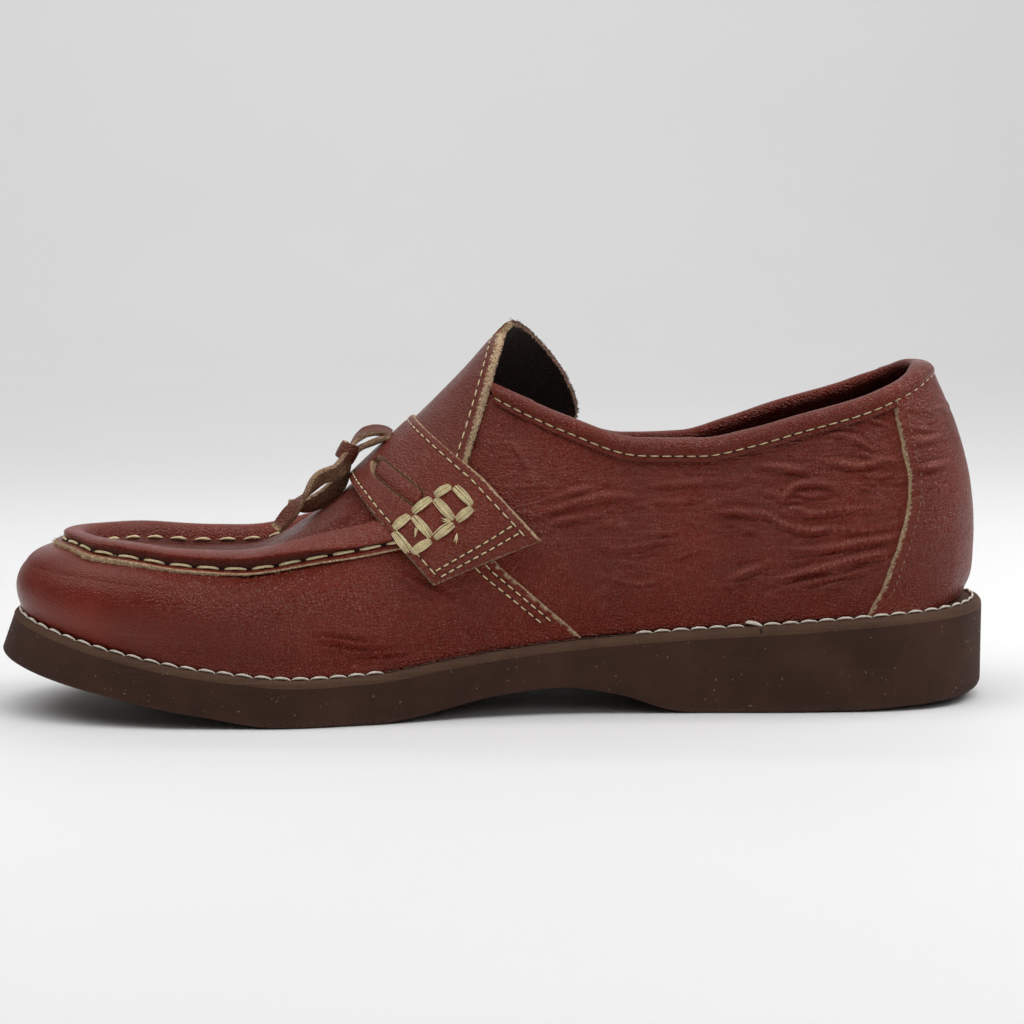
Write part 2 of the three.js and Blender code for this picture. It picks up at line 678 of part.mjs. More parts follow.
// Leather lace: a flat strip along points given as station, y and height
const LACE_ROUTES = {
  loop: [[173.2, 2, 77.6], [175.6, 2, 78.2], [178.4, 1, 77.8], [181.4, 0, 76.3], [183.6, -0.5, 74.6]],
  tailA: [[188.6, -4.2, 66.8], [194, -5, 64.4], [198, -6, 59.8], [202.3, -7, 54.8], [206.6, -8, 49.9]],
  tailB: [[187.2, 2, 65.4], [189, 2.4, 61.8], [193.5, 3, 57.6], [198.4, 4, 55.4], [203.3, 5, 55.7]],
};
const LACE_STEPS = 10;

function laceStrip(route) {
  const curve = new THREE.CatmullRomCurve3(route.map(([station, y, z]) => place(station, y, z)));
  const across = new THREE.Vector3(0, 1, 0);
  const stops = Array.from({ length: LACE_STEPS + 1 }, (_, i) => {
    const along = curve.getTangentAt(i / LACE_STEPS);
    const out = new THREE.Vector3().crossVectors(along, across).normalize();
    return { point: curve.getPointAt(i / LACE_STEPS), out, side: across };
  });
  const [w, t] = [LACE_WIDTH / 2, LACE_THICKNESS / 2];
  return sweep(stops, () => [[-w, -t], [w, -t], [w, t], [-w, t]]);
}

const KNOT = { centre: place(185.7, -1, 71), shares: [0.85, 1.05, 1.1], around: 14, rows: 9 };
function laceKnot() {
  const knot = new THREE.SphereGeometry(KNOT_RADIUS, KNOT.around, KNOT.rows);
  return knot.scale(...KNOT.shares).translate(...KNOT.centre);
}

// Materials
const leather = (color, roughness) => new THREE.MeshStandardMaterial({ color, roughness, metalness: 0 });
const oxblood = leather(0x5e2320, 0.45);
const strapLeather = leather(0x562522, 0.5);
const laceLeather = leather(0x6a3a2a, 0.7);
const midsoleLeather = leather(0x4a3226, 0.8);
const soleRubber = leather(0x30211b, 0.95);
const insoleLeather = leather(0x4b3a33, 0.8);

const PIECES = [
  ["outsole", outsole(), soleRubber],
  ["midsole", midsole(), midsoleLeather],
  ["insole", insole(), insoleLeather],
  ["upper", geometryOf(upper()), oxblood],
  ["apron_roll", geometryOf(apronRoll()), oxblood],
  ["saddle_strap", geometryOf(saddleStrap()), strapLeather],
  ["tongue", geometryOf(tongue()), strapLeather],
  ["heel_counter", geometryOf(heelCounter()), oxblood],
  ["collar_binding", collarBinding(0), oxblood],
  ["lace_bar_inner", geometryOf(laceBar("inner")), laceLeather],
  ["lace_bar_outer", geometryOf(laceBar("outer")), laceLeather],
  ["lace_loop", laceStrip(LACE_ROUTES.loop), laceLeather],
  ["lace_knot", laceKnot(), laceLeather],
  ["lace_tail_a", laceStrip(LACE_ROUTES.tailA), laceLeather],
  ["lace_tail_b", laceStrip(LACE_ROUTES.tailB), laceLeather],
];

const loafer = new THREE.Group();
for (const [name, geometry, material] of PIECES) {
  const piece = new THREE.Mesh(geometry, material);
  piece.name = name;
  loafer.add(piece);
}

export default loafer;
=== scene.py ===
"""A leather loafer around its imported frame. Sizes are in millimetres, and meshes in metres.

A station is a distance along the shoe, from the back of the heel to the tip of the toe.
A turn runs once around the foot: heel at 0, inner side, toe at pi, outer side.
A rise runs up the surface of the last, from 0 at its foot line to 1 at its crest.
"""
import math

import bmesh
import bpy
import numpy as np
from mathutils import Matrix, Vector


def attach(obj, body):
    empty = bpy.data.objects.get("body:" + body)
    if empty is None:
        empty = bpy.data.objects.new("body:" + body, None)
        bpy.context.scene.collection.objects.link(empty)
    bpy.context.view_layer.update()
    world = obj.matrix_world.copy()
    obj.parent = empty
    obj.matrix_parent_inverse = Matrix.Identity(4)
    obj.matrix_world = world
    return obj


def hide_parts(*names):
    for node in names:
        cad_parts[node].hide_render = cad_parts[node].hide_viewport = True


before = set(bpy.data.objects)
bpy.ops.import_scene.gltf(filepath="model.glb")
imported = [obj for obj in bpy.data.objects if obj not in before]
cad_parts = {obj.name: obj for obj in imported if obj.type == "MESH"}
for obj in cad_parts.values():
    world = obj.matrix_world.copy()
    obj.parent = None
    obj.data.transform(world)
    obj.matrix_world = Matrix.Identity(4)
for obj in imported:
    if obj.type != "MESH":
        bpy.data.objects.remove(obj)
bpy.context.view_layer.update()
MM = 0.001
TURN = 2 * math.pi
SIDES = ("inner", "outer")
RNG = np.random.default_rng(7)

# Camera at the photograph's angle
CAMERA = {"azimuth": -2.5, "elevation": 7.0, "distance": 760.0, "lens": 91.4, "sensor": 36.0}
CAMERA_TARGET = Vector((4.3, 0.0, 53.7))


def add_camera():
    azimuth, elevation = math.radians(CAMERA["azimuth"]), math.radians(CAMERA["elevation"])
    level = math.cos(elevation)
    back = Vector((math.sin(azimuth) * level, -math.cos(azimuth) * level, math.sin(elevation)))
    data = bpy.data.cameras.new("camera")
    data.lens, data.sensor_width = CAMERA["lens"], CAMERA["sensor"]
    camera = bpy.data.objects.new("camera", data)
    camera.location = (CAMERA_TARGET + back * CAMERA["distance"]) * MM
    camera.rotation_euler = back.to_track_quat("Z", "Y").to_euler()
    bpy.context.collection.objects.link(camera)
    bpy.context.scene.camera = camera


add_camera()


# Driving sizes
SOLE_LENGTH = 285.0
FIT_GAP = 0.3
UPPER_WALL = 2.6
VAMP_LAP = 1.0
STRAP_TOP = 2.5
TONGUE = {"outside": 1.6, "inside": -0.7, "bevel": 1.7, "far_bevel": 0.9}
COUNTER = {"outside": 0.35, "inside": -1.0, "bevel": 0.45}
BINDING_HEIGHT = 7.0
INSOLE_THICKNESS = 3.0
LACE = {"width": 5.5, "thickness": 1.6}


def table(names, *rows):
    return dict(zip(names.split(), np.array(rows, float).T))


SOLE_PLAN = table(
    "station inner outer",
    (0, 0, 0), (5, -17.5, 17.5), (12, -25.5, 25.5), (24, -31.3, 31.5), (40, -33.8, 34.2),
    (60, -34, 35.4), (90, -33, 37.6), (120, -33.6, 42), (150, -38, 47), (178, -45.8, 50.5),
    (205, -50.5, 49.5), (230, -49.5, 44.5), (253, -45, 34), (270, -36.5, 20.5), (281, -24.5, 7),
    (285, -9, -9),
)
UNDERSIDE = table(
    "station height",
    (0, 2.2), (14, 1.5), (30, 0.6), (42, 0), (88, 0), (94, 0.7), (109, 5.3), (126, 7.7), (142, 6.4),
    (156, 3.5), (168, 1.1), (178, 0), (204, 0), (225, 3.1), (240, 5.7), (253, 8.5), (268, 11.7),
    (285, 16),
)
SOLE_MARGIN = table("station width", (0, 4.4), (225, 4.4), (262, 3.6), (285, 2.4))
MIDSOLE = table(
    "station top thickness",
    (0, 29.2, 2.6), (30, 27.4, 2.6), (58, 25.4, 2.6), (103, 22.6, 2.5), (142, 18.9, 2.4),
    (162, 16.1, 2.3), (178, 13.9, 2.2), (198, 13.2, 2.1), (225, 15.6, 2), (253, 20.8, 2),
    (278, 27.6, 2), (285, 29.8, 2),
)
LAST = table(
    "station crest across upward",
    (40, 118, 2.12, 2.05), (60, 124, 2.2, 2.1), (80, 127, 2.4, 2.2), (100, 126, 2.5, 2.2),
    (125, 119, 2.3, 2.1), (138, 108.4, 2.15, 2), (152, 93.3, 2.05, 1.95), (165, 80.4, 2.05, 2),
    (175, 71.2, 2.15, 2.15), (185, 61.8, 2.4, 2.5), (195, 53.6, 2.8, 3), (205, 47.9, 3, 3.7),
    (215, 45.3, 3.1, 4.2), (230, 45.3, 3.3, 4.8), (245, 48, 3.7, 6),
)
SWELL = table(
    "station inner outer",
    (0, 2.6, 2.6), (40, 2.4, 2.4), (80, 2.6, 2), (120, 3.6, 1.6), (160, 2.2, 1.2), (200, 1.4, 1.4),
    (255, 1.8, 1.8), (285, 1.6, 1.6),
)
COLLAR = table(
    "station inner outer",
    (14, 100, 100), (18, 99.2, 99.2), (24, 95.8, 96.4), (38, 90, 90.8), (58, 84.6, 84.6), (72, 80.8, 79.4),
    (86, 78.2, 75.2), (103, 78.4, 74.6), (125, 85.2, 81.4), (145, 94, 90.6), (156, 99, 97),
)
APRON = table(
    "station inner outer",
    (160, 0.8, 0.8), (178, 0.76, 0.77), (200, 0.69, 0.7), (225, 0.66, 0.65), (250, 0.61, 0.61),
    (285, 0.58, 0.58),
)
SWELL_TOP = 0.7
SPINE = {"heel": 60.0, "toe": 225.0, "reach": 20.0}
TOE_LEAN = {"share": 0.24, "start": 200.0}
NUDGE = 1e-3
HALVINGS = 36


def smoothstep(value, low, high):
    t = np.clip((value - low) / (high - low), 0, 1)
    return t * t * (3 - 2 * t)


def bell(value, middle, width):
    return np.exp(-((value - middle) / width) ** 2)


def unit(vectors):
    return vectors / np.maximum(np.linalg.norm(vectors, axis=-1, keepdims=True), 1e-9)


def stacked(*parts):
    return np.stack(np.broadcast_arrays(*parts), -1)


def curve(at, value):
    """A smooth curve through a table's column, which doesn't overshoot and stays flat outside."""
    width = np.diff(at)
    rise = np.diff(value) / width
    slope = np.concatenate([rise[:1], np.zeros(len(at) - 2), rise[-1:]])
    before, after = 2 * width[1:] + width[:-1], width[1:] + 2 * width[:-1]
    same = rise[:-1] * rise[1:] > 0
    safe = [np.where(same, part, 1) for part in (rise[:-1], rise[1:])]
    slope[1:-1] = np.where(same, (before + after) / (before / safe[0] + after / safe[1]), 0)

    def at_query(query):
        query = np.clip(query, at[0], at[-1])
        i = np.clip(np.searchsorted(at, query, side="right") - 1, 0, len(width) - 1)
        t = (query - at[i]) / width[i]
        leave, arrive = slope[i] * t * (1 - t) ** 2, slope[i + 1] * t * t * (1 - t)
        return value[i] + t * t * (3 - 2 * t) * (value[i + 1] - value[i]) + width[i] * (leave - arrive)

    return at_query


def column(rows, name):
    return curve(rows["station"], rows[name])


def both_sides(rows):
    return {side: column(rows, side) for side in SIDES}


def angle_of(station):
    return np.arccos(np.clip(1 - 2 * np.asarray(station, float) / SOLE_LENGTH, -1, 1))


def station_at(turn):
    return SOLE_LENGTH / 2 * (1 - np.cos(turn))


def place(station, y, z):
    return stacked(SOLE_LENGTH / 2 - station, y, z)


def station_of(points):
    return SOLE_LENGTH / 2 - points[..., 0]


plan = {side: curve(angle_of(SOLE_PLAN["station"]), SOLE_PLAN[side]) for side in SIDES}
underside = column(UNDERSIDE, "height")
sole_margin = column(SOLE_MARGIN, "width")
midsole_top = column(MIDSOLE, "top")
midsole_thickness = column(MIDSOLE, "thickness")
crest_height, square_across, square_upward = (column(LAST, name) for name in ("crest", "across", "upward"))
swell, collar, apron = both_sides(SWELL), both_sides(COLLAR), both_sides(APRON)


def on_inner(turn):
    return np.mod(turn, TURN) <= math.pi


def by_side(curves, turn, query):
    return np.where(on_inner(turn), curves["inner"](query), curves["outer"](query))


def sole_edge(turn, inset):
    """Station and y of the sole's edge, moved inwards."""
    def edge(t):
        wrapped = np.mod(t, TURN)
        return np.stack([station_at(t), by_side(plan, t, np.minimum(wrapped, TURN - wrapped))], -1)

    along = unit(edge(turn + NUDGE) - edge(turn - NUDGE))
    moved = edge(turn) + np.stack([-along[..., 1], along[..., 0]], -1) * np.asarray(inset)[..., None]
    return moved[..., 0], moved[..., 1]


def toe_lean(station, height):
    """How far the sole's side leans back at the toe, at a height above its underside."""
    return TOE_LEAN["share"] * smoothstep(station, TOE_LEAN["start"], SOLE_LENGTH) * height


def top_edge(turn, inset):
    """Station and y of the sole's edge at the top of the midsole, moved inwards."""
    station = station_at(turn)
    return sole_edge(turn, inset + toe_lean(station, midsole_top(station) - underside(station)))


def spine_station(station):
    def soft(over):
        return SPINE["reach"] * (1 - np.exp(-np.maximum(over, 0) / SPINE["reach"]))

    inside = np.clip(station, SPINE["heel"], SPINE["toe"])
    return inside - soft(SPINE["heel"] - station) + soft(station - SPINE["toe"])


def last_point(turn, climb):
    """The last's surface, for a climb from 0 at the foot line to pi / 2 at the crest."""
    station, y = top_edge(turn, sole_margin(station_at(turn)))
    foot_z = midsole_top(station) + FIT_GAP
    pole = spine_station(station)
    spine_y = (plan["inner"](angle_of(pole)) + plan["outer"](angle_of(pole))) / 2
    across = np.clip(np.cos(climb), 0, 1) ** (2 / square_across(pole))
    upward = np.clip(np.sin(climb), 0, 1) ** (2 / square_upward(pole))
    reach = np.hypot(station - pole, y - spine_y)
    bulge = by_side(swell, turn, station) / reach
    share = across + bulge * np.sin(math.pi * np.minimum(1, upward / SWELL_TOP))
    z = foot_z + (crest_height(pole) - foot_z) * upward
    return place(pole + (station - pole) * share, spine_y + (y - spine_y) * share, z)


# Climbs at even steps of the surface's own length, for a ring of turns
RISE_TURNS, RISE_STEPS, CLIMB_STEPS = 360, 160, 600


def rise_table():
    turns = np.linspace(0, TURN, RISE_TURNS + 1)[:, None]
    climbs = math.pi / 4 * (1 - np.cos(np.linspace(0, math.pi, CLIMB_STEPS)))[None, :]
    points = last_point(turns, climbs)
    steps = np.linalg.norm(np.diff(points, axis=1), axis=-1)
    length = np.concatenate([np.zeros((len(turns), 1)), np.cumsum(steps, axis=1)], axis=1)
    even = np.linspace(0, 1, RISE_STEPS + 1)
    return np.array([np.interp(even, row / row[-1], climbs[0]) for row in length]), length[:, -1]


CLIMBS, RISE_LENGTHS = rise_table()


def climb_of(turn, rise):
    a = np.mod(turn, TURN) / TURN * RISE_TURNS
    b = np.clip(rise, 0, 1) * RISE_STEPS
    i, k = np.minimum(a.astype(int), RISE_TURNS - 1), np.minimum(b.astype(int), RISE_STEPS - 1)
    s, t = a - i, b - k
    low = CLIMBS[i, k] * (1 - t) + CLIMBS[i, k + 1] * t
    high = CLIMBS[i + 1, k] * (1 - t) + CLIMBS[i + 1, k + 1] * t
    return low * (1 - s) + high * s


def rise_length(turn):
    return np.interp(np.mod(turn, TURN), np.linspace(0, TURN, RISE_TURNS + 1), RISE_LENGTHS)


def skin_point(turn, rise):
    return last_point(turn, climb_of(turn, rise))


def surface(turn, rise):
    """Points of the last, and the directions out of it and up along it."""
    turn, rise = np.broadcast_arrays(np.asarray(turn, float), np.asarray(rise, float))
    climb = climb_of(turn, rise)
    safe = np.clip(climb, NUDGE, math.pi / 2 - 2 * NUDGE)
    along = last_point(turn + NUDGE, safe) - last_point(turn - NUDGE, safe)
    up = unit(last_point(turn, safe + NUDGE) - last_point(turn, safe - NUDGE))
    return last_point(turn, climb), unit(np.cross(up, along)), up


def halving(low, high, measure):
    """Where a rising measure reaches zero, for arrays of limits."""
    low, high = np.array(low, float), np.array(high, float)
    for _ in range(HALVINGS):
        middle = (low + high) / 2
        below = measure(middle) < 0
        low, high = np.where(below, middle, low), np.where(below, high, middle)
    return (low + high) / 2


def line_through(*places):
    """Station by height along a line of (station, height) places, straight beyond its ends."""
    station, height = np.array(sorted(places, key=lambda at: at[1]), float).T
    slope = np.diff(station) / np.diff(height)

    def at_height(z):
        beyond = np.minimum(z - height[0], 0) * slope[0] + np.maximum(z - height[-1], 0) * slope[-1]
        return np.interp(z, height, station) + beyond

    return at_height


RISES = np.linspace(0, 1, 121)
SIGN = {"inner": 1, "outer": -1}
EDGE_LIMITS = (4, 262)
SIDE_ROUNDS, SIDE_STEP, SIDE_RISES = 14, 0.2, (0.001, 0.98)


def edge_turns(line, side):
    """The turns at which the rises of one side meet a line; negative on the outer side."""
    def ahead(turn):
        point = skin_point(SIGN[side] * turn, RISES)
        return station_of(point) - line(point[..., 2])

    limits = [np.full(RISES.shape, angle_of(station)) for station in EDGE_LIMITS]
    return SIGN[side] * halving(*limits, ahead)


def side_place(station, z, side="inner"):
    """Turn and rise of places that are given as seen from the side."""
    station, z = np.asarray(station, float), np.asarray(z, float)
    turn, rise = SIGN[side] * angle_of(station), np.full(station.shape, 0.5)
    for _ in range(SIDE_ROUNDS):
        point = skin_point(turn, rise)
        ahead, above = station - station_of(point), z - point[..., 2]
        by_turn = (skin_point(turn + NUDGE, rise) - point) / NUDGE
        by_rise = (skin_point(turn, rise + NUDGE) - point) / NUDGE
        a, b, c, d = -by_turn[..., 0], -by_rise[..., 0], by_turn[..., 2], by_rise[..., 2]
        size = a * d - b * c
        turn = turn + np.clip((d * ahead - b * above) / size, -SIDE_STEP, SIDE_STEP)
        rise = np.clip(rise + np.clip((a * above - c * ahead) / size, -SIDE_STEP, SIDE_STEP), *SIDE_RISES)
    return turn, rise


# Mesh building
WELD, SHARP_DEGREES = 0.004, 48.0
WALL_STEPS = 3


class Build:
    """Collects grids of points, with their flat coordinates and tints, into one object."""

    def __init__(self):
        self.points, self.faces, self.flat, self.tint, self.count = [], [], [], [], 0

    def grid(self, points, out, tint=(0, 0, 0), flat=(0, 0, 0), wrap=False):
        """Quads over rows and columns of points, facing out; wrap joins the last column to the first."""
        rows, columns = points.shape[:2]
        index = np.arange(rows * columns).reshape(rows, columns)
        right = np.roll(index, -1, axis=1) if wrap else index[:, 1:]
        left = index if wrap else index[:, :-1]
        quads = np.stack([left[:-1], right[:-1], right[1:], left[1:]], -1).reshape(-1, 4)
        listed = points.reshape(-1, 3)
        corner = listed[quads]
        normal = np.cross(corner[:, 2] - corner[:, 0], corner[:, 3] - corner[:, 1])
        want = np.broadcast_to(out, points.shape).reshape(-1, 3)[quads[:, 0]]
        if (normal * want).sum() < 0:
            quads = quads[:, ::-1]
        self.points.append(listed)
        self.faces.append(quads + self.count)
        for kept, values in ((self.tint, tint), (self.flat, flat)):
            kept.append(np.broadcast_to(values, points.shape).reshape(-1, 3))
        self.count += len(listed)

    def piece(self, name, material, slot, replaces=()):
        """One object of all that was collected, which rides on the part's one body."""
        points, faces = np.concatenate(self.points) * MM, np.concatenate(self.faces)
        mesh = bpy.data.meshes.new(name)
        mesh.from_pydata(points.tolist(), [], faces.tolist())
        for label, rows in (("flat", self.flat), ("tint", self.tint)):
            layer = mesh.attributes.new(label, "FLOAT_VECTOR", "POINT")
            layer.data.foreach_set("vector", np.concatenate(rows).astype(np.float32).ravel())
        self.weld(mesh, WELD * MM)
        mesh.shade_smooth()
        mesh.set_sharp_from_angle(angle=math.radians(SHARP_DEGREES))
        mesh.materials.append(material)
        made = bpy.data.objects.new(name, mesh)
        bpy.context.collection.objects.link(made)
        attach(made, "root")
        if replaces:
            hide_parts(*replaces)
        return made

    @staticmethod
    def weld(mesh, distance):
        work = bmesh.new()
        work.from_mesh(mesh)
        bmesh.ops.remove_doubles(work, verts=work.verts, dist=distance)
        bmesh.ops.dissolve_degenerate(work, edges=work.edges, dist=distance / 4)
        work.to_mesh(mesh)
        work.free()


def lerp(a, b, t):
    return a + (b - a) * t


def wall(build, top, bottom, out, tint=(1, 0, 0)):
    """A raw edge between two lines of points."""
    rows = [lerp(top, bottom, k / WALL_STEPS) for k in range(WALL_STEPS + 1)]
    build.grid(np.stack(rows), out=out, tint=tint)


def lengths(points):
    """Each point's distance along their line."""
    return np.concatenate([[0], np.cumsum(np.linalg.norm(np.diff(points, axis=0), axis=1))])


def resample(points, outs, at):
    """Places and ways out at distances along a line."""
    length = lengths(points)
    picked = [np.stack([np.interp(at, length, part[:, k]) for k in range(3)], -1) for part in (points, outs)]
    return picked[0], unit(picked[1])


def stitch_row(points, outs, pitch, share):
    """Ends of even stitches along a line, and the way out at each."""
    length = np.linalg.norm(np.diff(points, axis=0), axis=1).sum()
    count = max(1, int(round(length / pitch)))
    starts = (np.arange(count) + 0.5 - share / 2) * length / count
    first, out = resample(points, outs, starts)
    second, _ = resample(points, outs, starts + share * length / count)
    return first, second, out


def join_rows(rows):
    return tuple(np.concatenate(parts) for parts in zip(*rows))


def threads(
    build, stitches, radius, lift, sink=0.35, tall=0.8, segments=8, around=8, plies=0.1, twist=1.6, bow=None
):
    """Short twisted threads that come out of the leather and go back in, bowed to one side."""
    first, second, out = stitches
    t = np.linspace(0, 1, segments + 1)
    arch = np.sin(math.pi * t)
    rise = (lift + sink * radius) * arch ** 0.6 - sink * radius
    along = unit(second - first)
    side = unit(np.cross(along, out))
    phi = np.linspace(0, TURN, around, endpoint=False)
    size = radius * np.maximum(arch, 0) ** 0.4
    ply = 1 + plies * np.cos(2 * phi[None, :] - TURN * twist * t[:, None])
    wide, high = size[:, None] * ply * np.cos(phi), size[:, None] * ply * np.sin(phi) * tall
    middle = first[:, None] + (second - first)[:, None] * t[:, None] + out[:, None] * rise[:, None]
    if bow is not None:
        middle = middle + bow[:, None] * arch[:, None]
    rings = middle[:, :, None] + side[:, None, None] * wide[..., None] + out[:, None, None] * high[..., None]
    for ring in rings:
        build.grid(ring, out=ring - ring.mean(axis=1, keepdims=True), wrap=True)


# Materials
def new_material(name):
    """A material with its node tree, its shader and the object's own coordinates."""
    made = bpy.data.materials.new(name)
    made.use_nodes = True
    tree = made.node_tree
    return made, tree, tree.nodes["Principled BSDF"], node(tree, "TexCoord", output=3)


def feed(tree, socket, value):
    if isinstance(value, bpy.types.NodeSocket):
        tree.links.new(value, socket)
    else:
        socket.default_value = value


def node(tree, kind, inputs=None, output=0, **settings):
    made = tree.nodes.new("ShaderNode" + kind)
    for name, value in settings.items():
        setattr(made, name, value)
    for name, value in (inputs or {}).items():
        feed(tree, made.inputs[name], value)
    return made.outputs[output]


def blend(tree, factor, first, second):
    made = tree.nodes.new("ShaderNodeMix")
    made.data_type = "RGBA"
    for k, value in ((0, factor), (6, first), (7, second)):
        feed(tree, made.inputs[k], value)
    return made.outputs[2]


def math_node(tree, operation, *values):
    return node(tree, "Math", dict(enumerate(values)), operation=operation)


def ranged(tree, value, low, high, to_low=0.0, to_high=1.0):
    inputs = {"Value": value, "From Min": low, "From Max": high, "To Min": to_low, "To Max": to_high}
    return node(tree, "MapRange", inputs, interpolation_type="SMOOTHSTEP")


def times(tree, first, second, plus=0.0):
    return math_node(tree, "MULTIPLY_ADD", first, second, plus)


def noise(tree, where, scale, detail=3.0, roughness=0.55):
    inputs = {"Vector": where, "Scale": scale, "Detail": detail, "Roughness": roughness}
    return node(tree, "TexNoise", inputs, noise_type="FBM")


def scaled(tree, vector, *factors):
    return node(tree, "VectorMath", {0: vector, 1: factors}, operation="MULTIPLY")


def attribute(tree, name):
    return node(tree, "Attribute", output=1, attribute_name=name)


def split_xyz(tree, vector):
    made = tree.nodes.new("ShaderNodeSeparateXYZ")
    feed(tree, made.inputs[0], vector)
    return made.outputs


def add_bump(tree, skin, height, distance, strength=1.0):
    inputs = {"Height": height, "Distance": distance, "Strength": strength}
    feed(tree, skin.inputs["Normal"], node(tree, "Bump", inputs))


RAW_TAN = (0.36, 0.215, 0.115, 1)
RAW_PALE = (0.76, 0.57, 0.36, 1)
# Lighter ridge colour: painted highlight on the lit side of crease ridges, and partly wear on fold tops
WORN_AND_LIT_RIDGE = (0.36, 0.1, 0.075, 1)


# Scales of the grain, in cells per metre, and how far the cells are pushed about
GRAIN = {
    "drift": 420.0, "shift": 0.0011, "cells": 1050.0, "fine": 2400.0, "fuzz": 1500.0, "patch": 34.0,
    "gloss": 90.0,
}
FOLD_SCALE = (0.06, 0.3, 0.0)


def leather(name, deep, bright, dark=(0.012, 0.006, 0.005, 1), grain=1.0, wrinkle=1.0, rough=(0.32, 0.48)):
    """Pebble-grain leather, which reads its mesh's tint and flat.

    Tint x is a raw cut edge, y above 0 painted shade and below 0 a painted highlight on a lit ridge, z
    smooth or, below 0, pebbled.
    Flat x and y run along and across the panel, and z says how creased it is.
    """
    made, tree, skin, where = new_material(name)
    raw, shade_and_highlight, smooth = split_xyz(tree, attribute(tree, "tint"))
    flat = attribute(tree, "flat")
    creases = split_xyz(tree, flat)[2]
    drift = node(tree, "TexNoise", {"Vector": where, "Scale": GRAIN["drift"], "Detail": 2.0}, output=1)
    push = {0: drift, 1: (GRAIN["shift"],) * 3, 2: where}
    moved = node(tree, "VectorMath", push, operation="MULTIPLY_ADD")
    cells = node(tree, "TexVoronoi", {"Vector": moved, "Scale": GRAIN["cells"]}, feature="DISTANCE_TO_EDGE")
    pebble = ranged(tree, cells, 0.0, 0.3)
    patch = noise(tree, where, GRAIN["patch"], 4.0)
    fuzz = noise(tree, where, GRAIN["fuzz"], 5.0, 0.7)
    lines = {"Vector": scaled(tree, flat, *FOLD_SCALE), "Scale": 1.0, "Detail": 4.0, "Roughness": 0.55}
    folds = node(tree, "TexNoise", {**lines, "Offset": 1.0, "Gain": 1.0}, noise_type="RIDGED_MULTIFRACTAL")

    # Height
    coarse = ranged(tree, smooth, -1.0, 1.0, 2.2 * grain, 0.25 * grain)
    strength = times(tree, coarse, ranged(tree, patch, 0.3, 0.7, 0.6, 1.0))
    creased = times(tree, creases, 0.9, ranged(tree, smooth, 0.0, 1.0, 0.1 * wrinkle, 0.01))
    height = times(tree, noise(tree, where, GRAIN["fine"], 3.0), 0.45, times(tree, pebble, strength))
    height = times(tree, folds, creased, height)
    height = times(tree, fuzz, times(tree, raw, 2.5), height)
    add_bump(tree, skin, height, 0.00034, 0.7)

    # Colour
    colour = blend(tree, ranged(tree, patch, 0.32, 0.7), deep, bright)
    # Painted shade: the colour darkens in the grain's grooves
    groove = times(tree, ranged(tree, cells, 0.0, 0.14, 0.16, 0.0), strength)
    colour = blend(tree, groove, colour, tuple(0.35 * part for part in deep[:3]) + (1,))
    # Lighter tops of the fold lines: partly wear, partly painted highlight
    worn = times(tree, ranged(tree, folds, 1.0, 2.0, 0.0, 0.3), creases)
    on_pebbles = ranged(tree, pebble, 0.1, 0.7, 0.4, 1.0)
    # Painted highlight along the lit side of crease ridges, where tint y is below 0
    ridge = times(tree, ranged(tree, shade_and_highlight, -1.0, 0.0, 0.9, 0.0), on_pebbles)
    colour = blend(tree, math_node(tree, "MAXIMUM", worn, ridge), colour, WORN_AND_LIT_RIDGE)
    # Painted shade: where tint y is above 0 the colour darkens towards dark
    colour = blend(tree, shade_and_highlight, colour, dark)
    tan = blend(tree, ranged(tree, fuzz, 0.38, 0.62), RAW_TAN, RAW_PALE)
    feed(tree, skin.inputs["Base Color"], blend(tree, raw, colour, tan))

    # Sheen
    gloss = ranged(tree, noise(tree, where, GRAIN["gloss"], 5.0), 0.3, 0.7, *rough)
    dull = math_node(tree, "MAXIMUM", raw, shade_and_highlight)
    feed(tree, skin.inputs["Roughness"], times(tree, dull, 0.45, gloss))
    skin.inputs["Specular IOR Level"].default_value = 0.5
    skin.inputs["Specular Tint"].default_value = (1.0, 0.8, 0.69, 1)
    return made


def thread_material(name, colour, shade):
    made, tree, skin, where = new_material(name)
    fibre = noise(tree, where, 2200.0, 4.0, 0.7)
    feed(tree, skin.inputs["Base Color"], blend(tree, ranged(tree, fibre, 0.35, 0.65), shade, colour))
    add_bump(tree, skin, fibre, 0.0001)
    skin.inputs["Roughness"].default_value = 0.78
    return made


def rubber(name, deep, bright, speck, stripe):
    """Sponge rubber: fine pores, pale specks and faint moulding stripes along the edge."""
    made, tree, skin, where = new_material(name)
    cloud = noise(tree, where, 55.0, 5.0, 0.6)
    pores = noise(tree, where, 1500.0, 4.0, 0.65)
    lines = noise(tree, scaled(tree, where, 25.0, 25.0, 1500.0), 1.0, 2.0)
    colour = blend(tree, ranged(tree, cloud, 0.3, 0.72), deep, bright)
    colour = blend(tree, ranged(tree, lines, 0.45, 0.7, 0.0, stripe), colour, bright)
    near_floor = ranged(tree, split_xyz(tree, where)[2], 0.0, 0.0035, 0.22, 0.0)
    dusty = times(tree, near_floor, ranged(tree, pores, 0.4, 0.65))
    colour = blend(tree, dusty, colour, speck)
    colour = blend(tree, ranged(tree, pores, 0.38, 0.62, 0.0, 0.4), colour, bright)
    dots = node(tree, "TexVoronoi", {"Vector": where, "Scale": 520.0})
    few = ranged(tree, noise(tree, where, 260.0, 2.0), 0.55, 0.68)
    dot = times(tree, ranged(tree, dots, 0.1, 0.22, 1.0, 0.0), few)
    feed(tree, skin.inputs["Base Color"], blend(tree, times(tree, dot, 0.55), colour, speck))
    add_bump(tree, skin, times(tree, lines, 0.6 * stripe, pores), 0.0002, 0.5)
    skin.inputs["Roughness"].default_value = 0.82
    skin.inputs["Specular IOR Level"].default_value = 0.3
    return made


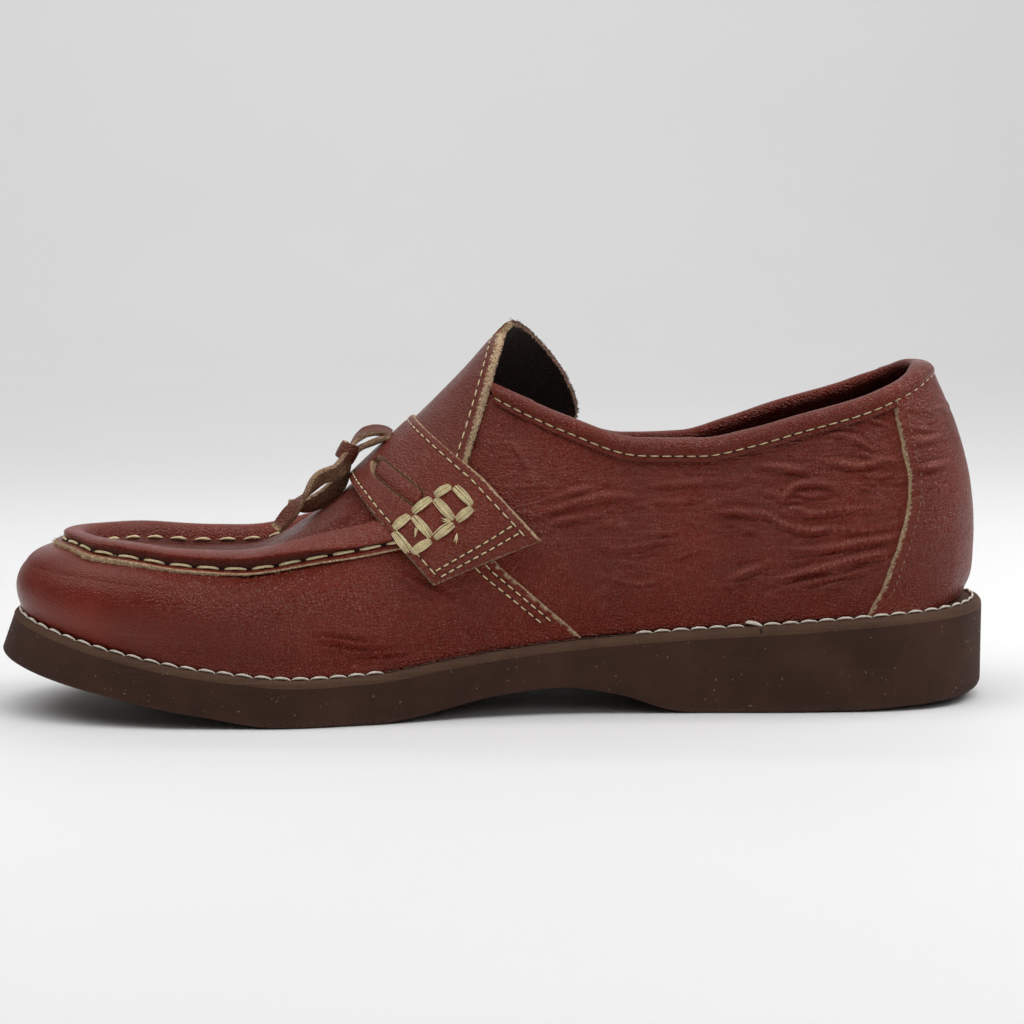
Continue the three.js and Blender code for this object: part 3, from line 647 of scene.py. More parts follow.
def paper(name, near, far, start, stop):
    """Matt paper whose colour greys towards the back: painted shade for the light falling off there."""
    made, tree, skin, where = new_material(name)
    colour = blend(tree, ranged(tree, split_xyz(tree, where)[1], start, stop), near, far)
    soft = blend(tree, noise(tree, where, 6.0, 4.0), (0.96, 0.96, 0.96, 1), (1, 1, 1, 1))
    mixed = node(tree, "VectorMath", {0: colour, 1: soft}, operation="MULTIPLY")
    feed(tree, skin.inputs["Base Color"], mixed)
    skin.inputs["Roughness"].default_value = 0.6
    return made


OXBLOOD = leather(
    "upper_leather", (0.148, 0.0115, 0.004, 1), (0.215, 0.0185, 0.007, 1), grain=1.5, rough=(0.28, 0.43)
)
STRAP_LEATHER = leather("strap_leather", (0.148, 0.0145, 0.006, 1), (0.195, 0.021, 0.0095, 1), wrinkle=0.3)
# Its dark colour is painted shade for the tongue's underside and edges
TONGUE_LEATHER = leather(
    "tongue_leather", (0.14, 0.0165, 0.0085, 1), (0.18, 0.0235, 0.013, 1),
    dark=(0.03, 0.022, 0.019, 1), wrinkle=0.25,
)
LINING_LEATHER = leather(
    "lining_leather", (0.02, 0.012, 0.01, 1), (0.035, 0.02, 0.016, 1), grain=0.5, rough=(0.6, 0.8)
)
LACE_LEATHER = leather("lace_leather", (0.13, 0.028, 0.015, 1), (0.19, 0.045, 0.024, 1), wrinkle=0.4)
SOLE_RUBBER = rubber(
    "sole_rubber", (0.036, 0.0138, 0.0074, 1), (0.066, 0.0275, 0.0162, 1), (0.26, 0.2, 0.15, 1), 0.3
)
MIDSOLE_EDGE = rubber(
    "midsole_edge", (0.068, 0.031, 0.0175, 1), (0.115, 0.059, 0.034, 1), (0.2, 0.15, 0.1, 1), 0.8
)
CREAM_THREAD = thread_material("cream_thread", (0.92, 0.87, 0.78, 1), (0.76, 0.67, 0.55, 1))
YELLOW_THREAD = thread_material("yellow_thread", (0.88, 0.77, 0.47, 1), (0.66, 0.53, 0.28, 1))
FADED_THREAD = thread_material("faded_thread", (0.42, 0.28, 0.17, 1), (0.22, 0.12, 0.07, 1))
BROWN_THREAD = thread_material("brown_thread", (0.09, 0.045, 0.03, 1), (0.05, 0.022, 0.015, 1))
TAN_FIBRE = thread_material("tan_fibre", RAW_PALE, RAW_TAN)
# Painted shade for stitch holes and the welt's notch
HOLE_SHADE = thread_material("hole_shade", (0.012, 0.005, 0.004, 1), (0.006, 0.003, 0.002, 1))
LINT = thread_material("lint", (0.5, 0.46, 0.4, 1), (0.32, 0.27, 0.22, 1))


# Laces: the routes repeat the frame's, as station, y and height
LACE_A = [
    (173.4, 2, 76.4), (175.4, 2, 77.3), (178.3, 1.2, 77.6), (181.3, 0, 76.9), (183.6, -0.5, 75.0),
    (185.9, -2.4, 71.3), (188.6, -4.2, 66.8), (194, -5, 64.4), (198, -6, 59.8), (202.3, -7, 54.8),
    (206.6, -8, 49.9),
]
LACE_B = [
    (173.6, -0.6, 75.6), (176.2, -0.8, 75.2), (179.4, -0.8, 74.0), (182.4, -0.5, 72.7), (185.2, 0, 70.6),
    (187.2, 1.6, 66), (189, 2.4, 61.8), (193.5, 3, 57.6), (198.4, 4, 55.4), (203.3, 5, 55.7),
]
TWIST_A = [12, 16, 18, 14, 5, -15, -45, -42, -5, 40, 45]
TWIST_B = [-5, -8, -8, 0, 5, -25, -55, -62, -50, -25]
KNOT = {"centre": (186, -1, 71.6), "across": 4.0, "deep": 2.9, "band": 5.0, "thickness": 1.2}


def spline(values, count):
    """A Catmull-Rom curve through rows of values, at even steps of its length."""
    values = np.asarray(values, float)
    if values.ndim == 1:
        values = values[:, None]
    padded = np.concatenate([2 * values[:1] - values[1:2], values, 2 * values[-1:] - values[-2:-1]])
    at = np.linspace(0, len(values) - 1, count)
    i = np.minimum(at.astype(int), len(values) - 2)
    t = (at - i)[:, None]
    a, b, c, d = (padded[i + k] for k in range(4))
    bend = (2 * a - 5 * b + 4 * c - d) * t * t + (3 * b - a - 3 * c + d) * t ** 3
    return b + ((c - a) * t + bend) / 2


LACE_STEPS = 90
LACE_CORNERS = np.array([
    (-1, -0.5), (-0.9, -1), (-0.45, -1), (0, -1), (0.45, -1), (0.9, -1), (1, -0.5), (1, 0.5), (0.9, 1),
    (0.45, 1), (0, 1), (-0.45, 1), (-0.9, 1), (-1, 0.5),
])
LACE_SUEDE = (0, 1, 2, 3, 4, 5, 6, 7, 13)


def lace(route, twists):
    """A flat strip of lace, and its route in metres."""
    points = spline([place(*row) for row in route], LACE_STEPS)
    angles = np.radians(spline(twists, LACE_STEPS)[:, 0])
    along = unit(np.gradient(points, axis=0))
    across = unit(np.array([0, 1.0, 0]) - along * along[:, 1:2])
    over = np.cross(across, along)
    side = across * np.cos(angles)[:, None] + over * np.sin(angles)[:, None]
    out = np.cross(side, along)
    taper = 1 - 0.25 * smoothstep(np.linspace(0, 1, LACE_STEPS), 0.9, 1)
    curl = 0.35 * np.sin(np.linspace(0, 9, LACE_STEPS))
    half, thick = LACE["width"] / 2, LACE["thickness"] / 2
    cup = curl[:, None] * (LACE_CORNERS[:, 0] ** 2 - 0.4)
    wide = side[:, None] * (LACE_CORNERS[:, 0] * half)[None, :, None] * taper[:, None, None]
    tall = out[:, None] * (LACE_CORNERS[:, 1] * thick + cup)[..., None]
    rings = points[:, None] + wide + tall
    middle = np.concatenate([points[:1], points, points[-1:]])[:, None]
    closed = np.concatenate([middle[:1] + 0 * rings[:1], rings, middle[-1:] + 0 * rings[:1]])
    back = np.isin(np.arange(len(LACE_CORNERS)), LACE_SUEDE).astype(float)
    tip = smoothstep(np.linspace(0, 1, len(closed)), 0.96, 0.99)
    raw = np.maximum(0.6 * back[None, :], 0.85 * tip[:, None])[..., None] * (1, 0, 0)
    flat = np.linspace(0, 60, len(closed))[:, None, None] * (1, 0, 0)
    build = Build()
    build.grid(closed, out=closed - middle, tint=raw, flat=flat, wrap=True)
    return build, points * MM


KNOT_AXIS = ((183.4, -0.5, 75.6), (188.6, -2, 66.2))
KNOT_SECTION = [
    (-1, -1), (-1.02, -0.4), (-0.95, 0), (-0.5, 0.1), (0, 0.14), (0.5, 0.1), (0.95, 0), (1.02, -0.4),
    (1, -1), (0, -1.1), (-1, -1),
]
KNOT_RAW = [0, 1, 7, 8, 9, 10]


def knot_band():
    """The short band that is wrapped around both strands of the lace."""
    centre = place(*KNOT["centre"])
    upper, lower = (place(*end) for end in KNOT_AXIS)
    axis = unit(lower - upper)
    across = unit(np.array([0, 1.0, 0]) - axis * axis[1])
    over = np.cross(axis, across)
    phi = np.linspace(0, TURN, 64, endpoint=False)[:, None]

    def ring(run, step):
        size = step * KNOT["thickness"]
        wide = (KNOT["across"] + size) * np.cos(phi) * across
        deep = (KNOT["deep"] + size) * np.sin(phi) * over
        return wide + deep + centre + axis * (run * KNOT["band"] / 2 + 0.3 * np.sin(2 * phi))

    rows = np.stack([ring(run, step) for run, step in KNOT_SECTION])
    raw = np.zeros(rows.shape)
    raw[KNOT_RAW, :, 0] = 0.9
    build = Build()
    build.grid(rows, out=rows - centre, tint=raw, wrap=True)
    return build.piece("lace_knot_band", LACE_LEATHER, "lace_leather", ("lace_knot",))


def add_laces():
    build, path = lace(LACE_A, TWIST_A)
    first = build.piece("lace_bow_a", LACE_LEATHER, "lace_leather", ("lace_loop", "lace_tail_a"))
    other, other_path = lace(LACE_B, TWIST_B)
    second = other.piece("lace_bow_b", LACE_LEATHER, "lace_leather", ("lace_tail_b",))
    knot = knot_band()


add_laces()


# Sole
LOOP, LID_STEPS = 720, 20
RING_TURNS = np.linspace(0, TURN, LOOP, endpoint=False)


def sole_ring(inset, height_at):
    station, y = top_edge(RING_TURNS, np.full(LOOP, inset))
    return place(station, y, height_at(station))


def lid(build, ring, out, height_at=None):
    """Strips that close a ring from side to side."""
    half = LOOP // 2
    left, right = ring[1:half], ring[:half:-1]
    rows = lerp(left[None], right[None], np.linspace(0, 1, LID_STEPS)[:, None, None])
    if height_at is not None:
        rows[..., 2] = height_at(station_of(rows))
    heel, toe = (np.broadcast_to(ring[k], (LID_STEPS, 1, 3)) for k in (0, half))
    build.grid(np.concatenate([heel, rows, toe], axis=1), out=np.array(out, float))


def solid_of_rings(build, rows, lift=0.0, low_at=None, high_at=None):
    """Rings from the underside to the top, closed below and above; lift turns flat rings upwards."""
    build.grid(rows, out=rows - rows.mean(axis=1, keepdims=True) + np.array([0, 0, lift]), wrap=True)
    lid(build, rows[0], (0, 0, -1), low_at)
    lid(build, rows[-1], (0, 0, 1), high_at)


def midsole_under(station):
    return midsole_top(station) - midsole_thickness(station)


CORNER_STEPS = 6
SEAM_GAP = 0.05
HEEL_CORNER, SIDE_CORNER = 3.2, 1.4


def add_outsole():
    build = Build()
    rows = []
    corner = lerp(HEEL_CORNER, SIDE_CORNER, smoothstep(station_at(RING_TURNS), 10, 70))
    for k in range(CORNER_STEPS + 1):
        bend = math.pi / 2 * k / CORNER_STEPS
        station, y = sole_edge(RING_TURNS, corner * (1 - math.sin(bend)))
        rows.append(place(station, y, underside(station) + corner * (1 - math.cos(bend))))
    top = sole_ring(0.0, lambda station: midsole_under(station) - SEAM_GAP)
    foot = rows[-1]
    rows += [lerp(foot, top, t) for t in np.linspace(0, 1, 12)[1:]]
    solid_of_rings(build, np.stack(rows), low_at=underside)
    return build.piece("outsole_rubber", SOLE_RUBBER, "sole_rubber", ("outsole",))


RING_LIFT = 5.0
# The midsole's edge, as inset and drop below its top
MIDSOLE_SECTION = [
    (0.05, 1.9), (0.1, 1.5), (0.35, 1.0), (0.75, 0.45), (1.2, 0.12), (1.7, 0.0), (2.3, 0.1), (3.1, 0.15),
    (4.0, 0.1), (7.0, 0.0),
]


def add_midsole():
    build = Build()
    rows = [sole_ring(0.0, midsole_under)]
    for inset, drop in MIDSOLE_SECTION:
        rows.append(sole_ring(inset, lambda station: midsole_top(station) - drop))
    solid_of_rings(build, np.stack(rows), RING_LIFT)
    return build.piece("midsole_strip", MIDSOLE_EDGE, "midsole_leather", ("midsole",))


def add_insole():
    build = Build()
    inset = sole_margin(station_at(RING_TURNS)) + UPPER_WALL + FIT_GAP

    def ring(extra, above):
        station, y = top_edge(RING_TURNS, inset + extra)
        return place(station, y, midsole_top(station) + above)

    top = FIT_GAP + INSOLE_THICKNESS
    dished = top - 0.5
    rows = np.stack([ring(0, FIT_GAP), ring(0, dished), ring(0.4, top), ring(3.5, top), ring(10, dished)])
    solid_of_rings(build, rows, RING_LIFT, high_at=lambda station: midsole_top(station) + dished)
    return build.piece("insole_leather", LINING_LEATHER, "insole_leather", ("insole",))


add_outsole()
add_midsole()
add_insole()


# Creases of the leather, as seen from the inner side: height, width, then (station, z) places
QUARTER_CREASES = [
    (0.5, 1.5, (52.8, 70.9), (47.1, 70.8), (41.9, 69.9), (33.5, 71.2), (28.1, 71.1)),
    (0.42, 1.4, (63.4, 57.8), (58.3, 57.8), (54.3, 56.6), (42, 57.9), (32.5, 57.5)),
    (0.5, 1.5, (74.4, 56.7), (68.8, 56.7), (62.8, 53.5), (55.4, 51.8), (50, 52.3), (39.7, 51.4),
     (30.1, 52.6)),
    (0.55, 1.6, (59.9, 46.1), (51.1, 46.6), (42, 48.3), (33.6, 49.3), (29.4, 49.7)),
    (0.7, 1.7, (66.8, 36.7), (58.7, 39.5), (51, 41.2), (44.2, 43.2), (36.4, 44.8), (31.2, 45.5)),
    (0.4, 1.3, (64.8, 34.9), (56.9, 36.5), (45.3, 38.8), (34.5, 41)),
    (0.4, 1.5, (71, 70.4), (62.8, 69.8), (55.4, 68.7)),
    (0.45, 1.4, (68.8, 62.9), (62.8, 61.7), (59.4, 64.8), (51.1, 65), (45.4, 62.7)),
    (0.35, 1.3, (46.3, 77.5), (41.2, 76.9), (36.9, 74.6)),
    (0.45, 1.8, (134.3, 56.3), (127.8, 58.4), (121.6, 60.4), (115.7, 61.7), (109.5, 62), (102.4, 61.1)),
    (0.4, 1.6, (130, 60.8), (121.6, 63.3), (114.5, 64.9)),
    (0.35, 1.5, (131.2, 53.4), (123.6, 55.6), (114.6, 56.7)),
    (0.35, 1.6, (103.6, 64.7), (97.3, 65.2), (91.4, 65.5), (82.3, 66), (69.3, 65.4)),
    (0.3, 1.4, (99.9, 60.4), (94, 60.2), (88, 61)),
    (0.35, 1.4, (80.4, 57), (75.3, 57.3), (69.4, 56.1)),
    (0.45, 1.6, (79.6, 36.9), (73.1, 40.2), (67.2, 41.9)),
    (0.3, 1.3, (76.4, 53), (69.3, 51.3)),
    (0.25, 1.5, (118, 48), (108, 47), (97, 49), (88, 48)),
    (0.22, 1.4, (112, 38), (103, 36.5), (95, 38.5)),
    (0.25, 1.3, (140.5, 76.6), (136, 72), (133.5, 66.5)),
]
COUNTER_CREASES = [
    (0.4, 1.7, (25.9, 76.2), (21.2, 76.5), (14.4, 77.7)),
    (0.35, 1.6, (25.2, 68.4), (19.6, 69.2), (12.8, 69.8)),
    (0.25, 1.6, (22, 84), (16, 84.6), (10.5, 85)),
]
VAMP_CREASES = [
    (-0.45, 1.1, (193.5, 23.2), (188.9, 22.5), (182.9, 21), (176, 20.6), (168.7, 20.6)),
    (-0.35, 1.0, (196.1, 25.5), (189.7, 25), (184.2, 23.9), (176.7, 23.1)),
    (-0.3, 1.0, (184.9, 18.9), (175.1, 18.4), (164, 18.6)),
    (-0.45, 1.5, (172.2, 43.2), (164.8, 39.3), (155.5, 34.6)),
    (-0.3, 1.3, (176, 41.5), (168, 37), (160, 33)),
    (-0.3, 1.4, (190.4, 51.4), (185.7, 54.4), (181.4, 57.3)),
    (-0.25, 1.2, (193.5, 50), (188.5, 53), (183.5, 56)),
]
CREASE_HEIGHT, CREASE_WIDTH, CREASE_REACH = 1.7, 0.74, 11.0
OUTER_SHIFT, OUTER_SHARE = (-5.0, 2.5), 0.8


def small_creases(count, stations, heights, sizes):
    """Short creases between the main ones, which climb to the heel below and run level above."""
    made = []
    for _ in range(count):
        station, z, half = RNG.uniform(*stations), RNG.uniform(*heights), RNG.uniform(2.5, 6.5)
        slope, bow = 0.011 * (62 - z) + RNG.normal(0, 0.1), RNG.normal(0, 0.5)
        places = [(station + k * half, z - slope * k * half + bow * (1 - k * k)) for k in (-1, 0, 1)]
        made.append((RNG.uniform(*sizes), RNG.uniform(0.85, 1.2), *places))
    return made


QUARTER_CREASES += small_creases(36, (30, 80), (36, 84), (0.14, 0.34))
QUARTER_CREASES += small_creases(16, (84, 135), (44, 66), (0.1, 0.24))
COUNTER_CREASES += small_creases(9, (12, 25), (62, 86), (0.1, 0.2))


def crease_relief(station, z, creases):
    """Soft ridges, or troughs below 0, how near each place is to one, and how much of a lit ridge it is."""
    relief, nearness, crest = (np.zeros(np.shape(station)) for _ in range(3))
    for height, width, *places in creases:
        height, width = height * CREASE_HEIGHT, width * CREASE_WIDTH
        path = spline(places, 24)
        low, high = path.min(axis=0) - CREASE_REACH, path.max(axis=0) + CREASE_REACH
        near = (station > low[0]) & (station < high[0]) & (z > low[1]) & (z < high[1])
        at = np.stack([station[near], z[near]], -1)
        steps = at[:, None] - path[None]
        distance = np.hypot(steps[..., 0], steps[..., 1])
        k, nearest = distance.argmin(axis=1), distance.min(axis=1)
        away = np.copysign(nearest, steps[np.arange(len(k)), k, 1]) / width
        fade = np.sin(math.pi * np.clip((k + 0.5) / len(path), 0.02, 0.98)) ** 0.7
        profile = bell(away, 0, 1) - 0.75 * bell(away, -1.35, 0.55) - 0.3 * bell(away, 1.5, 0.65)
        relief[near] += height * fade * profile
        nearness[near] = np.maximum(nearness[near], bell(nearest, 0, CREASE_REACH / 2))
        crest[near] = np.maximum(crest[near], np.clip(height, 0, 1) * fade * bell(away, 0.3, 1))
    return relief, nearness, crest


def both_sides_relief(points, turn, creases):
    """The creases on the inner side, and a looser set of the same kind on the outer side."""
    station, z = station_of(points), points[..., 2]
    inner = crease_relief(station, z, creases)
    outer = crease_relief(station + OUTER_SHIFT[0], z + OUTER_SHIFT[1], creases)
    return tuple(np.where(on_inner(turn), near, OUTER_SHARE * far) for near, far in zip(inner, outer))


# Limits of the ripples' steps along and up, phases and sizes
RIPPLE_LIMITS = ((0.08, 0.3), (0.3, 0.9), (0, TURN), (0.4, 1))
RIPPLES = [[RNG.uniform(*limits) for limits in RIPPLE_LIMITS] for _ in range(14)]


def ripple(u, v):
    """A soft unevenness, longer along the shoe than up it."""
    return sum(size * np.sin(a * u + b * v + phase) for a, b, phase, size in RIPPLES) / len(RIPPLES)


def smooth_line(*places):
    return line_through(*spline(places, 60))


# Edges of the upper's panels, as seen from the side
VAMP_SEAM = line_through((118.8, 20), (143, 41.7), (169.8, 72))
STRAP_FRONT = line_through((161.8, 37.5), (184.3, 62.8))
STRAP_REAR = line_through((131.3, 49.5), (147.4, 66.6), (166.4, 81.7))
STRAP_MIDDLE = line_through((146.6, 43.5), (175.4, 72.2))
TONGUE_INNER = smooth_line(
    (152.2, 69.7), (147.8, 83), (143.5, 96.4), (140.9, 104.4), (139.5, 107.4), (137.6, 108.8)
)
TONGUE_OUTER = smooth_line(
    (121, 66), (116.9, 77.7), (116.9, 83), (118.5, 87.7), (121.7, 93.7), (126.4, 99.9), (131.1, 105.0),
    (134.4, 107.6), (137.6, 108.8),
)
COUNTER_TOP = (32, 95)
COUNTER_LINE = smooth_line(
    COUNTER_TOP, (30.6, 89.5), (30.1, 85.7), (29.6, 81.5), (28.6, 76.8), (27.9, 72), (26.8, 68),
    (26.6, 62.8), (27, 58.5), (27.6, 55), (29.2, 49.5), (30, 46.5), (32.3, 40.5), (34.2, 34.5), (36.8, 30.2),
    (40.2, 24),
)
RING_RISES = np.linspace(-math.pi, math.pi, 721)
PANEL_ROUNDS = 8


def collar_rises(drop):
    """Rise of the collar's line lowered by a drop, for turns from -pi to pi."""
    def above(rise):
        point = skin_point(RING_RISES, rise)
        return point[..., 2] - by_side(collar, RING_RISES, station_of(point)) + drop

    return halving(np.zeros(RING_RISES.shape), np.ones(RING_RISES.shape), above)


def panel(start, end, columns, rows, top=None):
    """Turns and rises between two edges, which are given by rise, up to a top line given by turn."""
    u, t = np.linspace(0, 1, columns)[None, :], np.linspace(0, 1, rows)[:, None]
    rise = np.broadcast_to(t, (rows, columns))
    for _ in range(PANEL_ROUNDS):
        turn = lerp(np.interp(rise, RISES, start), np.interp(rise, RISES, end), u)
        if top is not None:
            wrapped = np.mod(turn + math.pi, TURN) - math.pi
            rise = t * np.interp(wrapped, RING_RISES, top)
    return turn, rise


FLARE = {"out": 1.15, "reach": 5.5, "heel_out": -1.9, "heel_reach": 9.0, "heel": (3, 24), "toe": (225, 258)}


def foot_flare(rise, turn):
    """How far the leather's foot turns out onto the welt, less so at the toe and inwards at the heel."""
    station = station_at(turn)
    side = smoothstep(station, *FLARE["heel"])
    ease = 1 - smoothstep(rise * rise_length(turn) / lerp(FLARE["heel_reach"], FLARE["reach"], side), 0, 1)
    out = lerp(FLARE["heel_out"], FLARE["out"], side) * (1 - smoothstep(station, *FLARE["toe"]))
    return out * ease ** 1.5


PLUG = {"depth": 2.6, "start": 2.0, "full": 5.5, "from": 196.0, "to": 222.0, "foot": 1.3, "shade": 0.7}


def seam_gap(turn, rise):
    """How far each place is from the apron's seam, above 0 inside it and below 0 on the wall."""
    station = station_at(turn)
    share = by_side(apron, turn, station)
    climb = np.arccos(np.clip(share, 0, 1) ** (square_across(spine_station(station)) / 2))
    seam = last_point(turn, climb)
    away = np.linalg.norm(skin_point(turn, rise) - seam, axis=-1)
    return np.where(climb_of(turn, rise) > climb, away, -away)


def plug_reach(turn, rise):
    """How far inside the apron's seam each place is, and how much of the plug is there."""
    away = np.maximum(seam_gap(turn, rise), 0)
    return away, smoothstep(station_at(turn), PLUG["from"], PLUG["to"])


def plug_depth(turn, rise):
    """How far the plug lies below the roll around it."""
    away, share = plug_reach(turn, rise)
    return PLUG["depth"] * smoothstep(away, PLUG["start"], PLUG["full"]) * share


def plug_shade(turn, rise):
    """Painted shade: a dark line along the foot of the roll, and a fainter darkening over the sunk plug."""
    away, share = plug_reach(turn, rise)
    foot = bell(away, PLUG["full"] - 1, PLUG["foot"])
    return np.maximum(foot, PLUG["shade"] * smoothstep(away, PLUG["start"], PLUG["full"])) * share


SHOULDER = {
    "out": 1.5, "start": 4.6, "full": 13.0, "end": 26.0, "from": (166.0, 196.0), "to": (232.0, 262.0),
}
PEBBLED = {"full": 6.0, "end": 14.0, "from": (160.0, 192.0), "to": (236.0, 262.0)}


def below_lip(turn, rise, band):
    """A band of the vamp's wall below the apron's seam, faded at both its ends."""
    station = station_at(turn)
    ends = smoothstep(station, *band["from"]) * (1 - smoothstep(station, *band["to"]))
    return ends * (1 - smoothstep(-seam_gap(turn, rise), band["full"], band["end"]))


# Columns and rows of the panels' grids
VAMP_GRID, QUARTER_GRID, COUNTER_GRID = (450, 165), (560, 165), (190, 150)
COLLAR_DROP, LINING_DROP = 4.5, 3.0
QUARTER_INSET = 0.008
VAMP_EDGE = {"deep": 1.25, "slant": 0.75}
VAMP_CALM, VAMP_SMOOTH = (215, 250), (205, 268)
VAMP_SHADE = 0.45
# Height of each piece's ripples, and how creased its surface is
RIPPLE = {
    "vamp": 0.12, "quarters": 0.25, "counter": 0.15, "strap": 0.08, "tongue": 0.1, "binding": 0.12,
    "roll": 0.1,
}
CREASED = {"vamp": 0.4, "quarters": 1.0, "counter": 0.7}


def add_vamp():
    start, end = edge_turns(VAMP_SEAM, "inner"), TURN + edge_turns(VAMP_SEAM, "outer")
    turn, rise = panel(start, end, *VAMP_GRID)
    points, out, _ = surface(turn, rise)
    station = station_of(points)
    along = np.where(on_inner(turn), station, 2 * SOLE_LENGTH - station)
    relief, creased, _ = both_sides_relief(points, turn, VAMP_CREASES)
    relief += foot_flare(rise, turn)
    relief += RIPPLE["vamp"] * ripple(along, rise * 60) * (1 - smoothstep(station, *VAMP_CALM))
    relief -= plug_depth(turn, rise)
    started = smoothstep(-seam_gap(turn, rise), SHOULDER["start"], SHOULDER["full"])
    relief += SHOULDER["out"] * started * below_lip(turn, rise, SHOULDER)
    moved = points + out * relief[..., None]
    grain = smoothstep(station, *VAMP_SMOOTH) - below_lip(turn, rise, PEBBLED)
    tint = stacked(0, VAMP_SHADE * plug_shade(turn, rise), grain)
    flat = stacked(along, rise * rise_length(turn), CREASED["vamp"] * creased)
    build = Build()
    build.grid(moved, out=out, tint=tint, flat=flat)
    for k in (0, -1):
        edge, away = moved[:, k], out[:, k]
        back = unit(edge - moved[:, (2, -3)[k]])
        wall(build, edge, edge - away * VAMP_EDGE["deep"] + back * VAMP_EDGE["slant"], back)
    return build.piece("vamp", OXBLOOD, "upper_leather", ("upper",))


QUARTER_CALM = (0.004, 0.03)


def add_quarters():
    start, end = edge_turns(VAMP_SEAM, "inner"), edge_turns(VAMP_SEAM, "outer")
    turn, rise = panel(start + QUARTER_INSET, end - QUARTER_INSET, *QUARTER_GRID, collar_rises(COLLAR_DROP))
    points, out, _ = surface(turn, rise)
    along = np.where(turn > 0, -1, 1) * station_of(points)
    relief, creased, crest = both_sides_relief(points, turn, QUARTER_CREASES)
    relief += RIPPLE["quarters"] * ripple(along, points[..., 2])
    u = np.linspace(0, 1, QUARTER_GRID[0])
    relief *= smoothstep(np.minimum(u, 1 - u), *QUARTER_CALM)
    relief += foot_flare(rise, turn)
    build = Build()
    flat = stacked(along, points[..., 2], CREASED["quarters"] * creased)
    # Tint y below 0 paints a highlight along the lit side of each crease ridge
    build.grid(points + out * (relief - VAMP_LAP)[..., None], out=out, tint=stacked(0, -crest, 0), flat=flat)
    return build.piece("quarters", OXBLOOD, "upper_leather", ("upper",))


def add_lining():
    """The inside of the upper, from its foot to the collar and the toe."""
    turn = np.linspace(-math.pi, math.pi, 241)[None, :]
    rise = np.linspace(0, 1, 48)[:, None] * collar_rises(LINING_DROP)[::3][None, :]
    points, out, _ = surface(turn, rise)
    build = Build()
    depth = UPPER_WALL + plug_depth(turn, rise)
    flat = points[..., (0, 2, 2)] * (1, 1, 0)
    build.grid(points - out * depth[..., None], out=-out, flat=flat)
    return build.piece("lining", LINING_LEATHER, "insole_leather", ("upper",))


def add_counter():
    start, end = edge_turns(COUNTER_LINE, "inner"), edge_turns(COUNTER_LINE, "outer")
    turn, rise = panel(start, end, *COUNTER_GRID, collar_rises(COLLAR_DROP))
    points, out, _ = surface(turn, rise)
    inset = COUNTER["bevel"] / np.linalg.norm(np.diff(points, axis=1), axis=-1).sum(axis=1)
    u = np.linspace(0, 1, COUNTER_GRID[0])[None, :]
    shrunk = lerp(inset[:, None], 1 - inset[:, None], u)
    turn_in = lerp(turn[:, :1], turn[:, -1:], shrunk)
    inner_points, inner_out, _ = surface(turn_in, rise)
    along = np.where(turn_in > 0, -1, 1) * station_of(inner_points)
    relief, creased, crest = both_sides_relief(inner_points, turn_in, COUNTER_CREASES)
    relief += foot_flare(rise, turn_in)
    relief += RIPPLE["counter"] * ripple(along, inner_points[..., 2]) + COUNTER["outside"]
    top = inner_points + inner_out * relief[..., None]
    build = Build()
    flat = stacked(along, inner_points[..., 2], CREASED["counter"] * creased)
    # Tint y below 0 paints a highlight along the lit side of each crease ridge
    build.grid(top, out=inner_out, tint=stacked(0, -crest, 0), flat=flat)
    for k in (0, -1):
        low = points[:, k] + out[:, k] * (COUNTER["inside"] + foot_flare(rise, turn)[:, k])[:, None]
        wall(build, top[:, k], low, unit(low - top[:, (4, -5)[k]]))
    return build.piece("heel_counter_leather", OXBLOOD, "upper_leather", ("heel_counter",))


BAND_STEPS = 61


class Band:
    """A strip over the instep: u runs from its front to its rear edge, w from -1 at its inner end to 1."""

    def __init__(self, front, rear, ends):
        self.edges = {side: (edge_turns(front, side), edge_turns(rear[side], side)) for side in SIDES}
        u = np.linspace(0, 1, BAND_STEPS)
        self.low = {}
        for side in SIDES:
            def above(rise, side=side):
                point = skin_point(self.turn(u, rise, side), rise)
                return point[..., 2] - ends[side](station_of(point))

            self.low[side] = (u, halving(0 * u, 0 * u + 1, above))

    def turn(self, u, rise, side):
        front, rear = (np.interp(rise, RISES, edge) for edge in self.edges[side])
        return lerp(front, rear, u)

    def at(self, u, w):
        u, w = np.broadcast_arrays(np.asarray(u, float), np.asarray(w, float))
        turns, rises = [], []
        for side in SIDES:
            low = np.interp(u, *self.low[side])
            rises.append(lerp(1.0, low, np.abs(w)))
            turns.append(self.turn(u, rises[-1], side))
        return np.where(w < 0, turns[0], turns[1]), np.where(w < 0, rises[0], rises[1])

    def surface(self, u, w):
        return surface(*self.at(u, w))[:2]


def height_line(first, second):
    """Height by station along a straight line."""
    slope = (second[1] - first[1]) / (second[0] - first[0])
    return lambda station: first[1] + (station - first[0]) * slope


STRAP_END = height_line((161.8, 37.5), (131.3, 49.5))
STRAP = Band(STRAP_FRONT, {side: STRAP_REAR for side in SIDES}, {side: STRAP_END for side in SIDES})
TONGUE_BAND = Band(
    STRAP_MIDDLE, {"inner": TONGUE_INNER, "outer": TONGUE_OUTER},
    {"inner": height_line((120, 58), (160, 58)), "outer": height_line((146.6, 43.5), (121, 66))},
)
STRAP_WIDTH, STRAP_HALF = 33.0, 62.0
STRAP_BEVEL = {"front": 0.2, "rear": 0.75, "end": 0.3}
STRAP_ROWS = {"front": 2.3, "rear": 3.0, "depth": 0.18, "width": 0.5}
STRAP_ROUND = {"drop": 0.35, "reach": 0.45}
STRAP_GRID = (80, 320)
CREST_CLEAR, FAR_AWAY = 8.0, 99.0
STRAP_CROWN = {"rise": 0.3, "middle": 1.5, "reach": 15.0}
